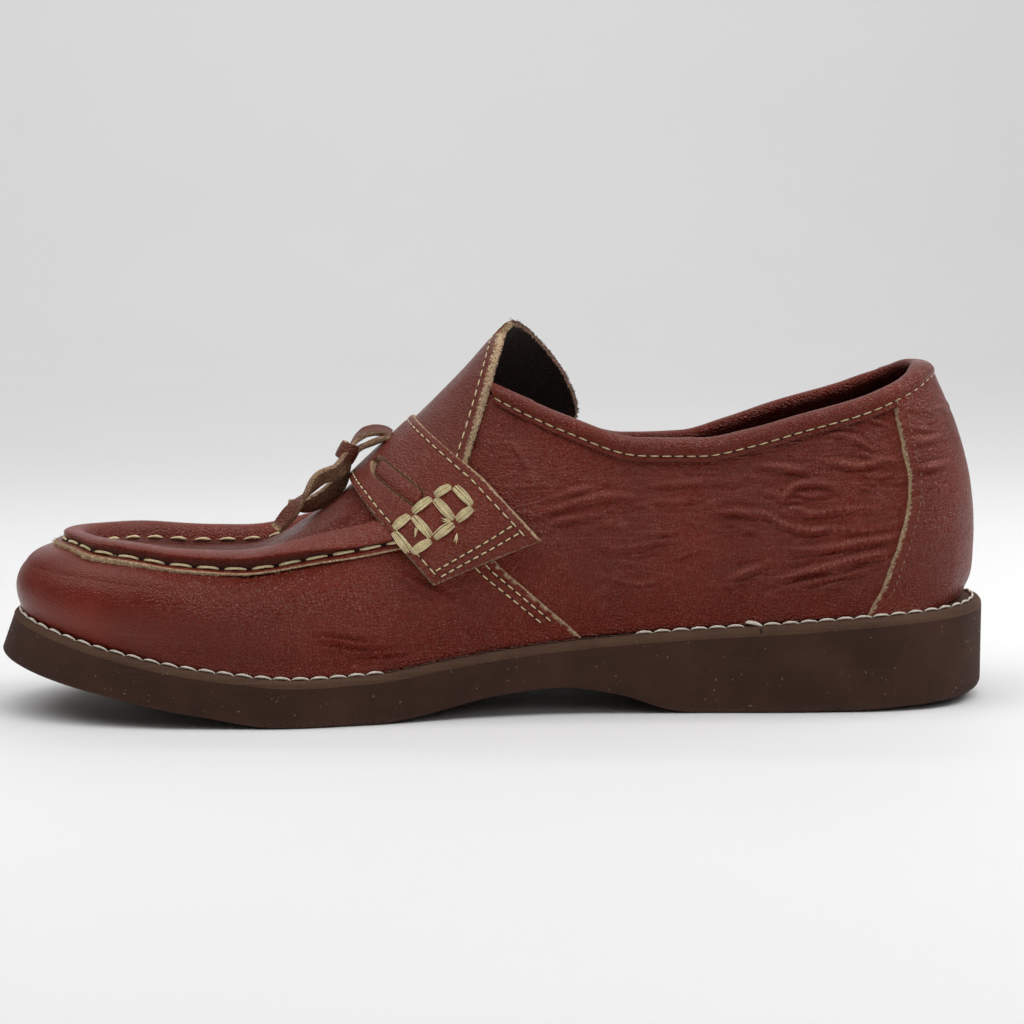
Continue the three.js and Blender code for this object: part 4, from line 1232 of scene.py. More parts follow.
SLOT = {"centre": (170.8, 63.6), "half": 5.2, "radius": 2.6, "slope": math.atan2(-9.6, 13.7)}
SLOT_CUT = {
    "depth": 1.9, "wall": (-0.25, 0.15), "rim": 0.2, "rim_reach": 0.5, "raw": 0.75, "raw_width": 0.22,
}


def strap_crown(points):
    """How far the strap stands off the instep, most at its crest."""
    return STRAP_CROWN["rise"] * bell(points[..., 1], STRAP_CROWN["middle"], STRAP_CROWN["reach"])


def slot_frame(station, z):
    """Places along and across the strap's slot."""
    cos, sin = math.cos(SLOT["slope"]), math.sin(SLOT["slope"])
    ahead, above = station - SLOT["centre"][0], z - SLOT["centre"][1]
    return -ahead * cos + above * sin, ahead * sin + above * cos


def slot_distance(station, z):
    run, across = slot_frame(station, z)
    return np.hypot(np.maximum(np.abs(run) - SLOT["half"], 0), across) - SLOT["radius"]


def closed_panel(build, top, low, out, top_tint, low_tint, flat, edge_tints):
    """Two faces of a panel and the four raw edges between them."""
    build.grid(top, out=out, tint=top_tint, flat=flat)
    build.grid(low, out=-out, tint=low_tint, flat=flat)
    edges = ((0, slice(None)), (-1, slice(None)), (slice(None), 0), (slice(None), -1))
    inside = ((1, slice(None)), (-2, slice(None)), (slice(None), 1), (slice(None), -2))
    for edge, inner, tint in zip(edges, inside, edge_tints):
        wall(build, top[edge], low[edge], unit(low[edge] - low[inner]), tint)


def add_strap():
    u, w = np.linspace(0, 1, STRAP_GRID[0])[None, :], np.linspace(-1, 1, STRAP_GRID[1])[:, None]
    low_points, low_out = STRAP.surface(u, w)
    front, rear = STRAP_BEVEL["front"] / STRAP_WIDTH, 1 - STRAP_BEVEL["rear"] / STRAP_WIDTH
    points, out = STRAP.surface(lerp(front, rear, u), w * (1 - STRAP_BEVEL["end"] / STRAP_HALF))
    station, z = station_of(points), points[..., 2]
    distance = np.where(np.abs(points[..., 1]) > CREST_CLEAR, slot_distance(station, z), FAR_AWAY)
    edge = np.minimum(np.minimum(u, 1 - u) * STRAP_WIDTH, (1 - np.abs(w)) * STRAP_HALF)
    rounding = -STRAP_ROUND["drop"] * np.exp(-np.clip(edge, 0, None) / STRAP_ROUND["reach"])
    depth = -SLOT_CUT["depth"] * (1 - smoothstep(distance, *SLOT_CUT["wall"]))
    depth = depth - SLOT_CUT["rim"] * np.exp(-np.clip(distance, 0, None) / SLOT_CUT["rim_reach"])
    to_front = np.abs(u * STRAP_WIDTH - STRAP_ROWS["front"])
    to_rear = np.abs((1 - u) * STRAP_WIDTH - STRAP_ROWS["rear"])
    groove = STRAP_ROWS["depth"] * bell(np.minimum(to_front, to_rear), 0, STRAP_ROWS["width"])
    uneven = RIPPLE["strap"] * ripple(u * STRAP_WIDTH, w * STRAP_HALF)
    relief = STRAP_TOP + rounding + depth - groove + uneven + strap_crown(points)
    raw = bell(distance, 0, SLOT_CUT["raw_width"]) * SLOT_CUT["raw"]
    # Tint y paints the sunk floor of the slot dark: painted shade in the cut
    tint = stacked(raw, (distance < SLOT_CUT["wall"][0]) * 0.9, 0)
    top = points + out * relief[..., None]
    low = low_points + low_out * (FIT_GAP + 0.7 * strap_crown(low_points))[..., None]
    flat = stacked(u * STRAP_WIDTH, w * STRAP_HALF, 0)
    raw, dim = (1, 0, 0), (0.5, 0.2, 0)
    build = Build()
    # The underside is painted dark and three edges are dimmed: painted shade; the rear edge shows its raw
    # cut
    closed_panel(build, top, low, out, tint, (0, 1, 0), flat, (dim, dim, dim, raw))
    return build.piece("strap_leather", STRAP_LEATHER, "strap_leather", ("saddle_strap",))


TONGUE_GRID = (80, 230)
TONGUE_WEAR = {"far": 0.2, "all": 0.08, "ends": (-0.02, 0.16)}
TONGUE_GROOVE = {"edge": 2.0, "width": 0.5, "depth": 0.15}


def add_tongue():
    columns, rows = TONGUE_GRID
    u, w = np.linspace(0, 1, columns)[None, :], np.linspace(-1, 1, rows)[:, None]
    full, _ = TONGUE_BAND.surface(u, w)
    width = np.linalg.norm(np.diff(full, axis=1), axis=-1).sum(axis=1)[:, None]
    far = smoothstep(w, *TONGUE_WEAR["ends"])
    rough = RNG.normal(0, TONGUE_WEAR["far"], (rows, 1)) * far + RNG.normal(0, TONGUE_WEAR["all"], (rows, 1))
    worn = np.abs(rough)
    low_points, low_out = TONGUE_BAND.surface(u * (1 - (TONGUE["far_bevel"] * far + worn) / width), w)
    points, out = TONGUE_BAND.surface(u * (1 - (TONGUE["bevel"] * (1 - far) + worn) / width), w)
    edge = (1 - u) * width
    groove = TONGUE_GROOVE["depth"] * bell(edge, TONGUE_GROOVE["edge"], TONGUE_GROOVE["width"])
    uneven = RIPPLE["tongue"] * ripple(u * 40, w * 60)
    relief = TONGUE["outside"] - 0.25 * np.exp(-edge / 0.5) - groove + uneven
    top = points + out * relief[..., None]
    low = low_points + low_out * TONGUE["inside"]
    flat = stacked(u * width, w * STRAP_HALF, 0)
    # Painted shade: the underside and three edges take the dark colour
    dark = (0, 1, 0)
    edge_tint = stacked(1 - 0.8 * far[:, 0], 0.45 * far[:, 0], 0)
    build = Build()
    closed_panel(build, top, low, out, (0, 0, 0), dark, flat, (dark, dark, dark, edge_tint))
    return build.piece("tongue_leather", TONGUE_LEATHER, "strap_leather", ("tongue",))


BAR = {"grid": (60, 22), "clear": 0.2, "high": 2.6, "rounding": 0.4}


def add_lace_bars():
    """The flat lace that shows in the strap's slots."""
    for side in SIDES:
        a, b = (np.linspace(-1, 1, count) for count in BAR["grid"])
        a, b = a[None, :], b[:, None]
        radius = SLOT["radius"] - BAR["clear"]
        run = a * (SLOT["half"] + radius)
        over = np.clip(np.abs(run) - SLOT["half"], 0, radius) / radius
        across = b * radius * np.sqrt(np.maximum(1 - over ** 2, 0.0004))
        cos, sin = math.cos(SLOT["slope"]), math.sin(SLOT["slope"])
        station = SLOT["centre"][0] - run * cos + across * sin
        z = SLOT["centre"][1] + run * sin + across * cos
        turn, rise = side_place(station, z, side)
        points, out, _ = surface(turn, rise)
        dive = np.where(a < 0, smoothstep(-a, 0.72, 1.0) * 0.85, smoothstep(a, 0.9, 1.0) * 0.5)
        high = FIT_GAP + BAR["high"] * (1 - BAR["rounding"] * b ** 4) * (1 - dive)
        low = points + out * FIT_GAP
        top = points + out * (high + strap_crown(points))[..., None]
        flat = stacked(run, across, 0)
        rim = np.abs(b) ** 18 * (np.abs(a) < 0.8)
        # Painted shade: the strip darkens where it dives under the strap, and its underside is dark
        tint = stacked(0.8 * rim, dive * (a < 0), 0)
        build = Build()
        closed_panel(build, top, low, out, tint, (0, 1, 0), flat, ((0.5, 0.2, 0),) * 4)
        build.piece("lace_strip_" + side, STRAP_LEATHER, "lace_leather", ("lace_bar_" + side,))


# Collar binding: section as up and out, with a pinched line for its stitches and a flat flange below
BINDING_SECTION = [
    (-3.65, -1.0), (-3.75, -0.55), (-3.5, -0.28), (-3.0, -0.15), (-2.5, -0.18), (-2.0, -0.25), (-1.5, 0.2),
    (-0.6, 0.85), (0.6, 1.1), (1.8, 0.75), (2.8, -0.1), (3.4, -1.2), (3.45, -2.2), (3.0, -3.2), (1.8, -3.95),
    (0.4, -4.0), (-1, -3.6), (-2.4, -3.1), (-3.1, -2.8), (-3.5, -2.3),
]
BINDING_ENDS = {"inner": 143.5, "outer": 145.0}
BINDING_STEPS = 430
TONGUE_OVER = {"start": 106.0, "full": 112.0, "out": -1.3}
COUNTER_LIFT = 0.4
HEEL_LEAN = {"share": 0.55, "from": 8.0, "to": 36.0, "above": -1.6}


def binding_line():
    """Places along the binding, the ways out and up, and how much of it the tongue covers."""
    turn = np.linspace(angle_of(BINDING_ENDS["inner"]), -angle_of(BINDING_ENDS["outer"]), BINDING_STEPS)
    rise = np.interp(turn, RING_RISES, collar_rises(BINDING_HEIGHT / 2))
    points, out, up = surface(turn, rise)
    station = station_of(points)
    covered = np.where(turn < 0, smoothstep(station, TONGUE_OVER["start"], TONGUE_OVER["full"]), 0)
    lifted = COUNTER_LIFT * (1 - smoothstep(station, COUNTER_TOP[0] - 1, COUNTER_TOP[0] + 7))
    return points + out * lifted[:, None], out, up, covered


def add_binding():
    points, out, up, covered = binding_line()
    smooth = spline(BINDING_SECTION + BINDING_SECTION[:1], 44)[:-1]
    above, outside = smooth[None, :, 0], smooth[None, :, 1]
    outs = lerp(outside, np.minimum(outside, TONGUE_OVER["out"]), covered[:, None])
    length = lengths(points)[:, None]
    soft = RIPPLE["binding"] * ripple(length * 1.3, above * 2) * smoothstep(above, -2, 0)
    lean = HEEL_LEAN["share"] * (1 - smoothstep(station_of(points), HEEL_LEAN["from"], HEEL_LEAN["to"]))
    outs = outs - lean[:, None] * np.maximum(above - HEEL_LEAN["above"], 0)
    rings = points[:, None] + up[:, None] * above[..., None] + out[:, None] * (outs + soft)[..., None]
    # Tint y paints a dark line along the flange's lower edge: painted shade
    tint = stacked(0, 0.55 * bell(above, -3.75, 0.25) * (outside > -1.1), 0)
    flat = stacked(length, above, 0)
    build = Build()
    middle = rings.mean(axis=1, keepdims=True)
    build.grid(rings, out=rings - middle, tint=tint, flat=flat, wrap=True)
    for k in (0, -1):
        cap = np.stack([rings[k], np.broadcast_to(middle[k], rings[k].shape)])
        build.grid(cap, out=rings[k].mean(axis=0) - rings[(4, -5)[k]].mean(axis=0), wrap=True)
    return build.piece("binding_leather", OXBLOOD, "upper_leather", ("collar_binding",))


# Apron roll: section as side and out, from its raw lip outside to its foot inside
ROLL_SECTION = [
    (5.9, -0.9), (6.05, 0.2), (6.0, 1.2), (5.6, 1.75), (4.7, 1.9), (3.9, 1.8), (3.45, 1.8), (3.3, 2.6),
    (3.1, 3.5), (2.5, 4.4), (1.5, 4.9), (0.3, 5.0), (-0.9, 4.7), (-1.9, 4.0), (-2.6, 2.9), (-3.05, 1.6),
    (-3.3, 0.3), (-3.5, -1.4), (-3.7, -3.4),
]
ROLL_END = 168.0
ROLL_STITCH = {"pitch": 7.5, "share": 0.88, "inner_share": 0.7}
ROLL_INNER = 206.0
ROLL_SOFT = 0.035
ROLL_NEAR = (-22, 12)
ROLL_TALL = {"near": 0.94, "far": 0.9, "end": 0.43}
ROLL_LEAN = 1.3
ROLL_DRIFT = {
    "near": table(
        "station side sink", (190, -0.3, 0), (207, -0.5, 0), (225, 0.1, 0.2), (240, 1.3, 0.5),
        (262, 1.6, 0.7), (278, -0.4, 1.0),
    ),
    "far": table("station side sink", (190, 0, 0.4), (205, 0.2, 0.6), (250, 0.3, 0.5), (278, -0.4, 1.0)),
}
ROLL_LIP = {"wide": 1.6, "from": 264.0, "to": 278.0}
# Share of the section's height that the lip keeps: at the sides, at the front, and added at the tip
LIP_THICK = {"side": 0.2, "front": 0.66, "tip": 0.4, "front_at": (205, 248), "tip_at": (258, 274)}


def softened(rows, reach):
    """Rows of values averaged with their neighbours, with the ends kept."""
    weights = np.hanning(2 * reach + 3)
    before, after = 2 * rows[:1] - rows[reach + 1:0:-1], 2 * rows[-1:] - rows[-2:-reach - 3:-1]
    padded = np.concatenate([before, rows, after])
    return np.stack([np.convolve(part, weights / weights.sum(), "valid") for part in padded.T], -1)


def lip_wide(station):
    return ROLL_LIP["wide"] * (1 - smoothstep(station, ROLL_LIP["from"], ROLL_LIP["to"]))


def lip_thick(station):
    front = smoothstep(station, *LIP_THICK["front_at"])
    tip = LIP_THICK["tip"] * smoothstep(station, *LIP_THICK["tip_at"])
    return lerp(LIP_THICK["side"], LIP_THICK["front"], front) + tip


def roll_near(points):
    """1 on the inner side of the toe, 0 on the outer side."""
    return 1 - smoothstep(points[:, 1], *ROLL_NEAR)


def roll_line(count):
    """Places along the apron's seam, with the ways out of the shoe and away from the apron."""
    turn = np.linspace(angle_of(ROLL_END), TURN - angle_of(ROLL_END), count)
    station = station_at(turn)
    share = by_side(apron, turn, station)
    climb = np.arccos(share ** (square_across(spine_station(station)) / 2))
    points = last_point(turn, climb)
    up = last_point(turn, climb + NUDGE) - last_point(turn, climb - NUDGE)
    points = softened(points, round(ROLL_SOFT * count))
    along = unit(np.gradient(points, axis=0))
    out = unit(softened(np.cross(up, along), round(ROLL_SOFT * count)))
    side = unit(np.cross(out, along))
    side = side * np.sign(side[0] @ (0, -1, 0))
    near = roll_near(points)
    shift, sink = (
        lerp(*(column(ROLL_DRIFT[half], name)(station) for half in ("far", "near")), near)
        for name in ("side", "sink")
    )
    return points + side * shift[:, None] - out * sink[:, None], out, side, station


def add_roll():
    points, out, side, station = roll_line(420)
    length = lengths(points)[:, None]
    section = spline(ROLL_SECTION, 40)
    across, above = section[None, :, 0], section[None, :, 1]
    near = roll_near(points)[:, None]
    full = lerp(ROLL_TALL["far"], ROLL_TALL["near"], roll_near(points) * smoothstep(station, 205, 235))
    tall = lerp(ROLL_TALL["end"], full, smoothstep(station, 174, 207))[:, None]
    thick = lip_thick(station)[:, None]
    wide = lip_wide(station)[:, None] * smoothstep(across, lerp(0.3, -2.5, near), lerp(3.4, 1.2, near))
    wide += ROLL_LEAN * near * smoothstep(across, -2.8, 0.8) * (1 - smoothstep(across, 2.4, 3.4))
    count = round(length[-1, 0] / ROLL_STITCH["pitch"])
    beat = np.cos(TURN * count * length / length[-1]) ** 8
    pinch = bell(across, 3.3, 0.8) + 0.7 * bell(across, -2.8, 0.8)
    dent = -0.35 * beat * pinch + RIPPLE["roll"] * ripple(length * 1.5, across * 2)
    crest = 0.25 * ripple(length * 0.7 + 9, 0 * across)
    ragged = bell(across, 6, 0.4) * RNG.normal(0, 0.16, (len(points), 1)) * thick
    sides = across + wide + ragged
    on_lip = smoothstep(across, lerp(2.6, 3.3, near), lerp(3.6, 3.46, near))
    outs = above * lerp(tall, thick, on_lip) + dent + crest * (above > 3)
    rings = points[:, None] + side[:, None] * sides[..., None] + out[:, None] * outs[..., None]
    raw = np.clip(1.35 * bell(across, 6.15, 0.42), 0, 1) * (above < 1.75)
    # Tint y paints a dark line where the roll's wall meets its lip: painted shade
    tint = stacked(raw, 0.6 * bell(across, 3.4, 0.3), 0.5)
    flat = stacked(length, across * 3, 0)
    build = Build()
    build.grid(rings, out=out[:, None] + np.zeros(rings.shape), tint=tint, flat=flat)
    return build.piece("apron_roll_leather", OXBLOOD, "upper_leather", ("apron_roll",))


add_vamp()
add_quarters()
add_lining()
add_counter()
add_strap()
add_tongue()
add_lace_bars()
add_binding()
add_roll()


# Stitches
HOLE = {"lift": 0.02, "sink": 0.9, "tall": 0.35, "segments": 4, "around": 6, "plies": 0}
HEAVY = {"sink": 0.8, "tall": 0.8, "segments": 12, "around": 10, "plies": 0.12, "twist": 1.4}
FIBRE = {"segments": 4, "around": 4, "plies": 0}


def holes(build, stitches, radius):
    """Painted shade at the ends of stitches: small dark blobs that stand for the holes."""
    first, second, out = stitches
    along = unit(second - first) * radius
    for end in (first, second):
        threads(build, (end - along, end + along, out), radius, **HOLE)


COUNTER_ROW, VAMP_ROWS, TONGUE_ROW = 3.4, (2.21, 4.94), 4.3
# Pitch of the fine rows, and the share of it that the thread covers
FINE = {
    "strap": (3.3, 0.84), "strap_end": (2.5, 0.8), "tongue": (3.4, 0.82), "binding": (3.5, 0.86),
    "vamp": (2.8, 0.82), "counter": (2.1, 0.55),
}


def fine_rows():
    """The sewing machine's rows: strap, tongue, collar, vamp seam and counter."""
    rows, faint = [], []
    w = np.linspace(-0.965, 0.965, 300)
    for u in (STRAP_ROWS["front"] / STRAP_WIDTH, 1 - STRAP_ROWS["rear"] / STRAP_WIDTH):
        points, out = STRAP.surface(u, w)
        top = STRAP_TOP - 0.12 + strap_crown(points)
        rows.append(stitch_row(points + out * top[:, None], out, *FINE["strap"]))
    u = np.linspace(0.08, 0.9, 60)
    for front, rear in ((0.98, 0.938), (0.95, 0.903)):
        for way in (-1, 1):
            points, out = STRAP.surface(u, way * lerp(front, rear, u))
            rows.append(stitch_row(points + out * (STRAP_TOP + 0.02), out, *FINE["strap_end"]))
    w = np.linspace(-0.85, 0.95, 240)
    low, _ = TONGUE_BAND.surface(np.linspace(0, 1, 60)[None], w[:, None])
    width = np.linalg.norm(np.diff(low, axis=1), axis=-1).sum(axis=1)
    points, out = TONGUE_BAND.surface(1 - TONGUE_ROW / width, w)
    rows.append(stitch_row(points + out * (TONGUE["outside"] - 0.1), out, *FINE["tongue"]))
    points, out, up, covered = binding_line()
    bare = covered < 0.05
    rows.append(stitch_row((points - up * 2.0 + out * -0.2)[bare], out[bare], *FINE["binding"]))
    for side in SIDES:
        seam = edge_turns(VAMP_SEAM, side)
        rise = np.linspace(0.05, 0.42, 80)
        for ahead in VAMP_ROWS:
            turn = np.interp(rise, RISES, seam)
            turn = SIGN[side] * angle_of(station_at(np.abs(turn)) + ahead)
            points, out, _ = surface(turn, rise)
            rows.append(stitch_row(points + out * 0.02, out, *FINE["vamp"]))
        rise = np.linspace(0.04, 0.62, 120)
        edge = np.interp(rise, RISES, edge_turns(COUNTER_LINE, side))

        def past_row(turn, side=side, rise=rise, edge=edge):
            away = skin_point(SIGN[side] * turn, rise) - skin_point(edge, rise)
            return COUNTER_ROW - np.linalg.norm(away, axis=-1)

        turn = SIGN[side] * halving(np.full(rise.shape, 0.02), np.abs(edge), past_row)
        points, out, _ = surface(turn, rise)
        keep = points[:, 2] < by_side(collar, turn, station_of(points)) - BINDING_HEIGHT - 1
        points, out = points[keep] + out[keep] * (COUNTER["outside"] + 0.02), out[keep]
        faint.append(stitch_row(points, out, *FINE["counter"]))
    return join_rows(rows), join_rows(faint)


def add_fine_stitches():
    rows, faint = fine_rows()
    build = Build()
    threads(build, rows, 0.2, 0.12)
    build.piece("fine_stitches", YELLOW_THREAD, "strap_leather")
    small = Build()
    threads(small, faint, 0.15, 0.06)
    small.piece("counter_stitches", FADED_THREAD, "upper_leather")
    dark = Build()
    holes(dark, rows, 0.3)
    dark.piece("stitch_holes", HOLE_SHADE, "strap_leather")


WELT = {"inset": 2.6, "toe_inset": 1.7, "pitch": 5.2, "share": 1.02, "radius": 0.42}
NICK = {"station": 69.6, "lift": 1.4, "radius": 0.75, "notch": (69.5, 69.0), "depth": 2.1}
WELT_SUNK = (107, 176)


def add_welt_stitches():
    turn = np.linspace(0, TURN, 1500)
    inset = lerp(WELT["inset"], WELT["toe_inset"], smoothstep(station_at(turn), 245, 283))
    station, y = top_edge(turn, inset)
    points = place(station, y, midsole_top(station) - 0.05)
    up = np.broadcast_to(np.array([0, 0, 1.0]), points.shape)
    first, second, out = stitch_row(points, up, WELT["pitch"], WELT["share"])
    second = second + np.array([0, 0, 0.25])
    middle = station_of((first + second) / 2)
    sunk = (middle > WELT_SUNK[0]) & (middle < WELT_SUNK[1]) & (first[:, 1] < 0)
    loose = (np.abs(middle - NICK["station"]) + SOLE_LENGTH * (first[:, 1] > 0)).argmin()
    tight = ~sunk
    tight[loose] = False
    bright, dull, dark = Build(), Build(), Build()
    threads(
        bright, (first[tight], second[tight], out[tight]), WELT["radius"], 0.42,
        sink=0.6, tall=0.85, segments=10, around=10, plies=0.09, twist=2.2,
    )
    nub = second[loose] + np.array([0, 0, NICK["lift"]])
    threads(bright, (first[loose][None], nub[None], out[loose][None]), NICK["radius"], 0.1, sink=0.6)
    # The notch is a short dark thread: painted shade in the cut
    cut_turn = angle_of(np.array(NICK["notch"]))
    station, y = top_edge(cut_turn, np.array([0.4, 0.05]))
    cut = place(station, y, midsole_top(station) - np.array([0.2, NICK["depth"]]))
    threads(dark, (cut[:1], cut[1:], np.array([[0, -1.0, 0]])), 0.3, 0.1, sink=0.5)
    dark.piece("welt_nick", HOLE_SHADE, "midsole_leather")
    bright.piece("welt_stitches", CREAM_THREAD, "midsole_leather")
    threads(
        dull, (first[sunk], second[sunk], out[sunk]), WELT["radius"] * 0.8, 0.05,
        sink=0.6, tall=0.7, segments=10, around=10,
    )
    dull.piece("welt_stitches_waist", BROWN_THREAD, "midsole_leather")


def add_roll_stitches():
    points, out, side, station = roll_line(900)
    thick = lip_thick(station)[:, None]
    outer = points + side * (3.8 + lip_wide(station)[:, None]) + out * (1.9 * thick + 0.3)
    near = roll_near(points)[:, None]
    inner = points - side * lerp(3.95, 5.3, near) - out * lerp(0.5, 0.3, near)
    lean = unit(out + 0.6 * side)
    inward = unit(out - 1.2 * side)
    build, dark = Build(), Build()
    row = stitch_row(outer, lean, ROLL_STITCH["pitch"], ROLL_STITCH["share"])
    threads(build, row, 0.45, 0.3, **HEAVY)
    holes(dark, row, 0.34)
    row = stitch_row(inner, inward, ROLL_STITCH["pitch"], ROLL_STITCH["inner_share"])
    shown = station_of(row[0]) > ROLL_INNER
    row = tuple(part[shown] for part in row)
    threads(build, row, 0.43, 0.2, **HEAVY)
    build.piece("apron_stitches", YELLOW_THREAD, "upper_leather")
    dark.piece("apron_stitch_holes", HOLE_SHADE, "upper_leather")


# Hand stitches on the strap, as (station, z) places and the pairs that they join
LADDER_PLACES = [
    (173, 51.5), (167.6, 55.7), (161.3, 60.4), (155.7, 63.7), (150, 58.3), (155.5, 54.1), (162, 49.5),
    (168.4, 45.7),
]
LADDER_BARS = [(0, 1), (1, 2), (2, 3), (3, 4), (4, 5), (5, 6), (6, 7), (7, 0), (1, 6), (2, 5)]
LADDER_STRANDS, STRAND_STEP = 6, 0.46
TUFT_FIBRES = 9
TUFTS = [((166.9, 49.7), (166.3, 52)), ((156.8, 53.6), (158.9, 54.4)), ((155.1, 51.2), (155.8, 49.2))]


def add_ladder():
    for side in SIDES:
        station, z = np.array(LADDER_PLACES).T
        points, out, _ = surface(*side_place(station, z, side))
        points = points + out * (STRAP_TOP - 0.05)
        rows = []
        for a, b in LADDER_BARS:
            along = unit(points[b] - points[a])
            across = unit(np.cross(along, out[a]))
            for k in range(LADDER_STRANDS):
                shift = (k - (LADDER_STRANDS - 1) / 2) * STRAND_STEP
                wobble = RNG.normal(0, 0.06, 2)
                inset = along * (0.2 + 0.25 * abs(shift))
                start = points[a] + inset + across * (shift * 0.7 + wobble[0])
                stop = points[b] - inset + across * (shift * 0.7 + wobble[1])
                mean = unit(out[a] + out[b])
                rows.append((start[None], stop[None], mean[None], (across * shift * 0.3)[None]))
        build = Build()
        *bars, bow = join_rows(rows)
        threads(build, bars, 0.2, 0.55, sink=0.5, tall=1.1, segments=12, twist=2, bow=bow)
        frays = []
        for start, stop in TUFTS:
            ends = np.array([start, stop])
            tips, tip_out, _ = surface(*side_place(ends[:, 0], ends[:, 1], side))
            for _ in range(TUFT_FIBRES):
                scatter = RNG.normal(0, 0.45, 3)
                tip = tips[1] + tip_out[1] * (STRAP_TOP + 0.9) + scatter
                frays.append(((tips[0] + tip_out[0] * (STRAP_TOP + 0.3))[None], tip[None], tip_out[:1]))
        threads(build, join_rows(frays), 0.13, 0.1, sink=0.2, segments=5, around=5, plies=0)
        build.piece("ladder_stitches_" + side, YELLOW_THREAD, "strap_leather")


def fuzz_along(points, out, side, count, length, spread):
    """Loose fibres along a raw edge."""
    at = RNG.integers(0, len(points), count)
    start = points[at] + out[at] * RNG.normal(0, spread, (count, 1))
    way = side[at] * RNG.uniform(0.4, 1, (count, 1)) + RNG.normal(0, 0.6, (count, 3))
    stop = start + unit(way) * RNG.uniform(0.3, 1, (count, 1)) * length
    return start, stop, out[at]


def add_fibres():
    points, out, side, station = roll_line(900)
    edge = points + side * (6.0 + lip_wide(station)[:, None]) + out * lip_thick(station)[:, None]
    toe = station > 200
    rows = [fuzz_along(edge[toe], out[toe], side[toe], 620, 1.5, 0.45)]
    w = np.linspace(-0.8, 0.9, 300)
    points, out = TONGUE_BAND.surface(0.995, w)
    back = np.broadcast_to(np.array([1.0, 0, 0]), points.shape)
    near = w < 0.02
    rows.append(fuzz_along((points + out * 0.4)[near], out[near], back[near], 160, 0.9, 0.5))
    shaggy = Build()
    far = fuzz_along((points + out * 0.6)[~near], out[~near], back[~near], 320, 0.9, 0.45)
    threads(shaggy, far, 0.08, 0.05, **FIBRE)
    shaggy.piece("tongue_fuzz", BROWN_THREAD, "strap_leather")
    for line, top in ((COUNTER_LINE, 0.6), (VAMP_SEAM, 0.4)):
        rise = np.linspace(0.03, top, 160)
        points, out, _ = surface(np.interp(rise, RISES, edge_turns(line, "inner")), rise)
        rows.append(fuzz_along(points, out, back[:1] + 0 * points, 70, 0.8, 0.2))
    build = Build()
    threads(build, join_rows(rows), 0.055, 0.05, sink=0.2, **FIBRE)
    build.piece("raw_edge_fibres", TAN_FIBRE, "strap_leather")


LINT_COUNT, LINT_INSET = 90, -0.05


def add_lint():
    """Pale hairs and dust caught on the side of the sole."""
    count, inset = LINT_COUNT, np.full(LINT_COUNT, LINT_INSET)
    turn = RNG.uniform(0, TURN, count)
    station, y = sole_edge(turn, inset)
    low, high = underside(station) + 2, midsole_under(station) - 1
    start = place(station, y, lerp(low, high, RNG.uniform(0, 1, count) ** 1.5))
    ahead_station, ahead_y = sole_edge(turn + 0.004, inset)
    along = unit(place(ahead_station, ahead_y, start[:, 2]) - start)
    out = unit(np.cross(along, (0, 0, 1.0)))
    out = np.where((out * start).sum(-1, keepdims=True) < 0, -out, out)
    angle = RNG.uniform(0, TURN, (count, 1))
    way = along * np.cos(angle) + np.array([0, 0, 1.0]) * np.sin(angle)
    length = RNG.uniform(0.2, 1.1, (count, 1)) ** 1.5
    start = start - out * toe_lean(station, start[:, 2] - underside(station))[:, None]
    build = Build()
    threads(build, (start, start + way * length, out), 0.055, 0.08, sink=0.2, segments=5, around=4, plies=0)
    build.piece("sole_lint", LINT, "sole_rubber")


add_fine_stitches()
add_welt_stitches()
add_roll_stitches()
add_ladder()
add_fibres()
add_lint()


# Stage and light
STAGE = {"half_width": 5.0, "front": -5.0, "bend_start": 1.35, "bend_radius": 0.8, "top": 2.4}


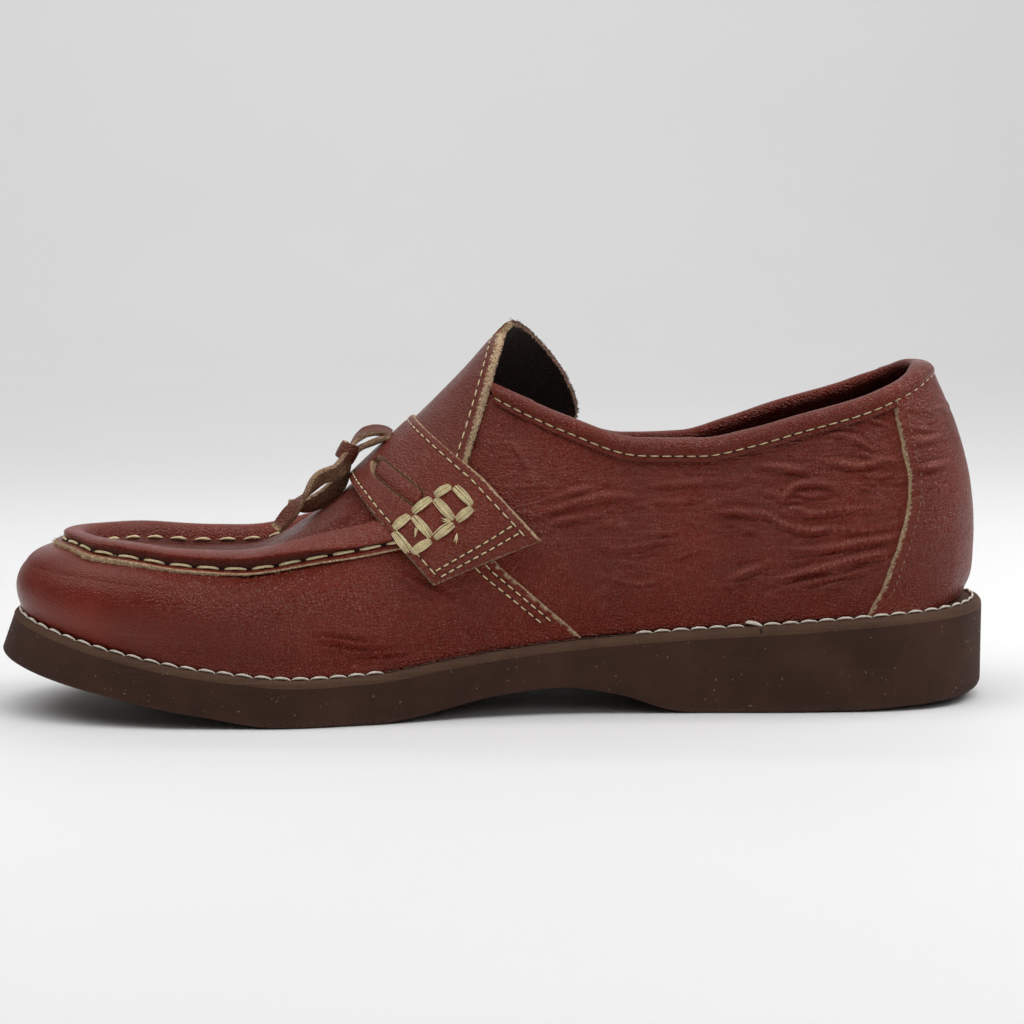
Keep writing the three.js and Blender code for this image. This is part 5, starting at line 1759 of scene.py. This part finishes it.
def add_stage():
    """A pale floor that bends up into a backdrop."""
    bend = np.linspace(0, math.pi / 2, 24)
    start, radius = STAGE["bend_start"], STAGE["bend_radius"]
    y = np.concatenate([[STAGE["front"]], start + radius * np.sin(bend), [start + radius]])
    z = np.concatenate([[0], radius * (1 - np.cos(bend)), [STAGE["top"]]])
    x = np.array([-STAGE["half_width"], STAGE["half_width"]])
    points = stacked(x[None, :], y[:, None], z[:, None])
    mesh = bpy.data.meshes.new("floor")
    index = np.arange(points.shape[0] * 2).reshape(-1, 2)
    quads = np.stack([index[:-1, 0], index[:-1, 1], index[1:, 1], index[1:, 0]], -1)
    mesh.from_pydata(points.reshape(-1, 3).tolist(), [], quads.tolist())
    mesh.shade_smooth()
    # The paper greys from 0.2 m to 0.7 m behind the shoe: painted shade
    mesh.materials.append(paper("floor_paper", (0.96, 0.96, 0.96, 1), (0.82, 0.82, 0.815, 1), 0.2, 0.7))
    floor = bpy.data.objects.new("floor", mesh)
    bpy.context.collection.objects.link(floor)


def add_light(name, location, target, size, energy):
    data = bpy.data.lights.new(name, "AREA")
    data.shape, data.size, data.size_y = "RECTANGLE", *size
    data.energy = energy
    light = bpy.data.objects.new(name, data)
    light.location = location
    light.rotation_euler = (Vector(location) - Vector(target)).to_track_quat("Z", "Y").to_euler()
    bpy.context.collection.objects.link(light)


def add_lights():
    world = bpy.data.worlds.new("studio")
    world.use_nodes = True
    background = world.node_tree.nodes["Background"]
    background.inputs["Color"].default_value = (0.95, 0.97, 1.0, 1)
    background.inputs["Strength"].default_value = 0.07
    bpy.context.scene.world = world
    add_light("overhead", (0.0, -0.12, 1.1), (0, 0, 0.03), (2.8, 0.8), 17.2)
    add_light("front_right", (0.75, -1.0, 0.7), (0, 0, 0.03), (0.6, 0.5), 1.3)
    add_light("backdrop", (0, 1.3, 1.6), (0, 2.2, 0.3), (3.0, 0.8), 19.5)
    add_light("back_right", (0.8, 0.3, 0.6), (0, 0, 0.05), (0.4, 0.4), 1.8)


add_stage()
add_lights()
bpy.context.scene.view_settings.view_transform = "Standard"
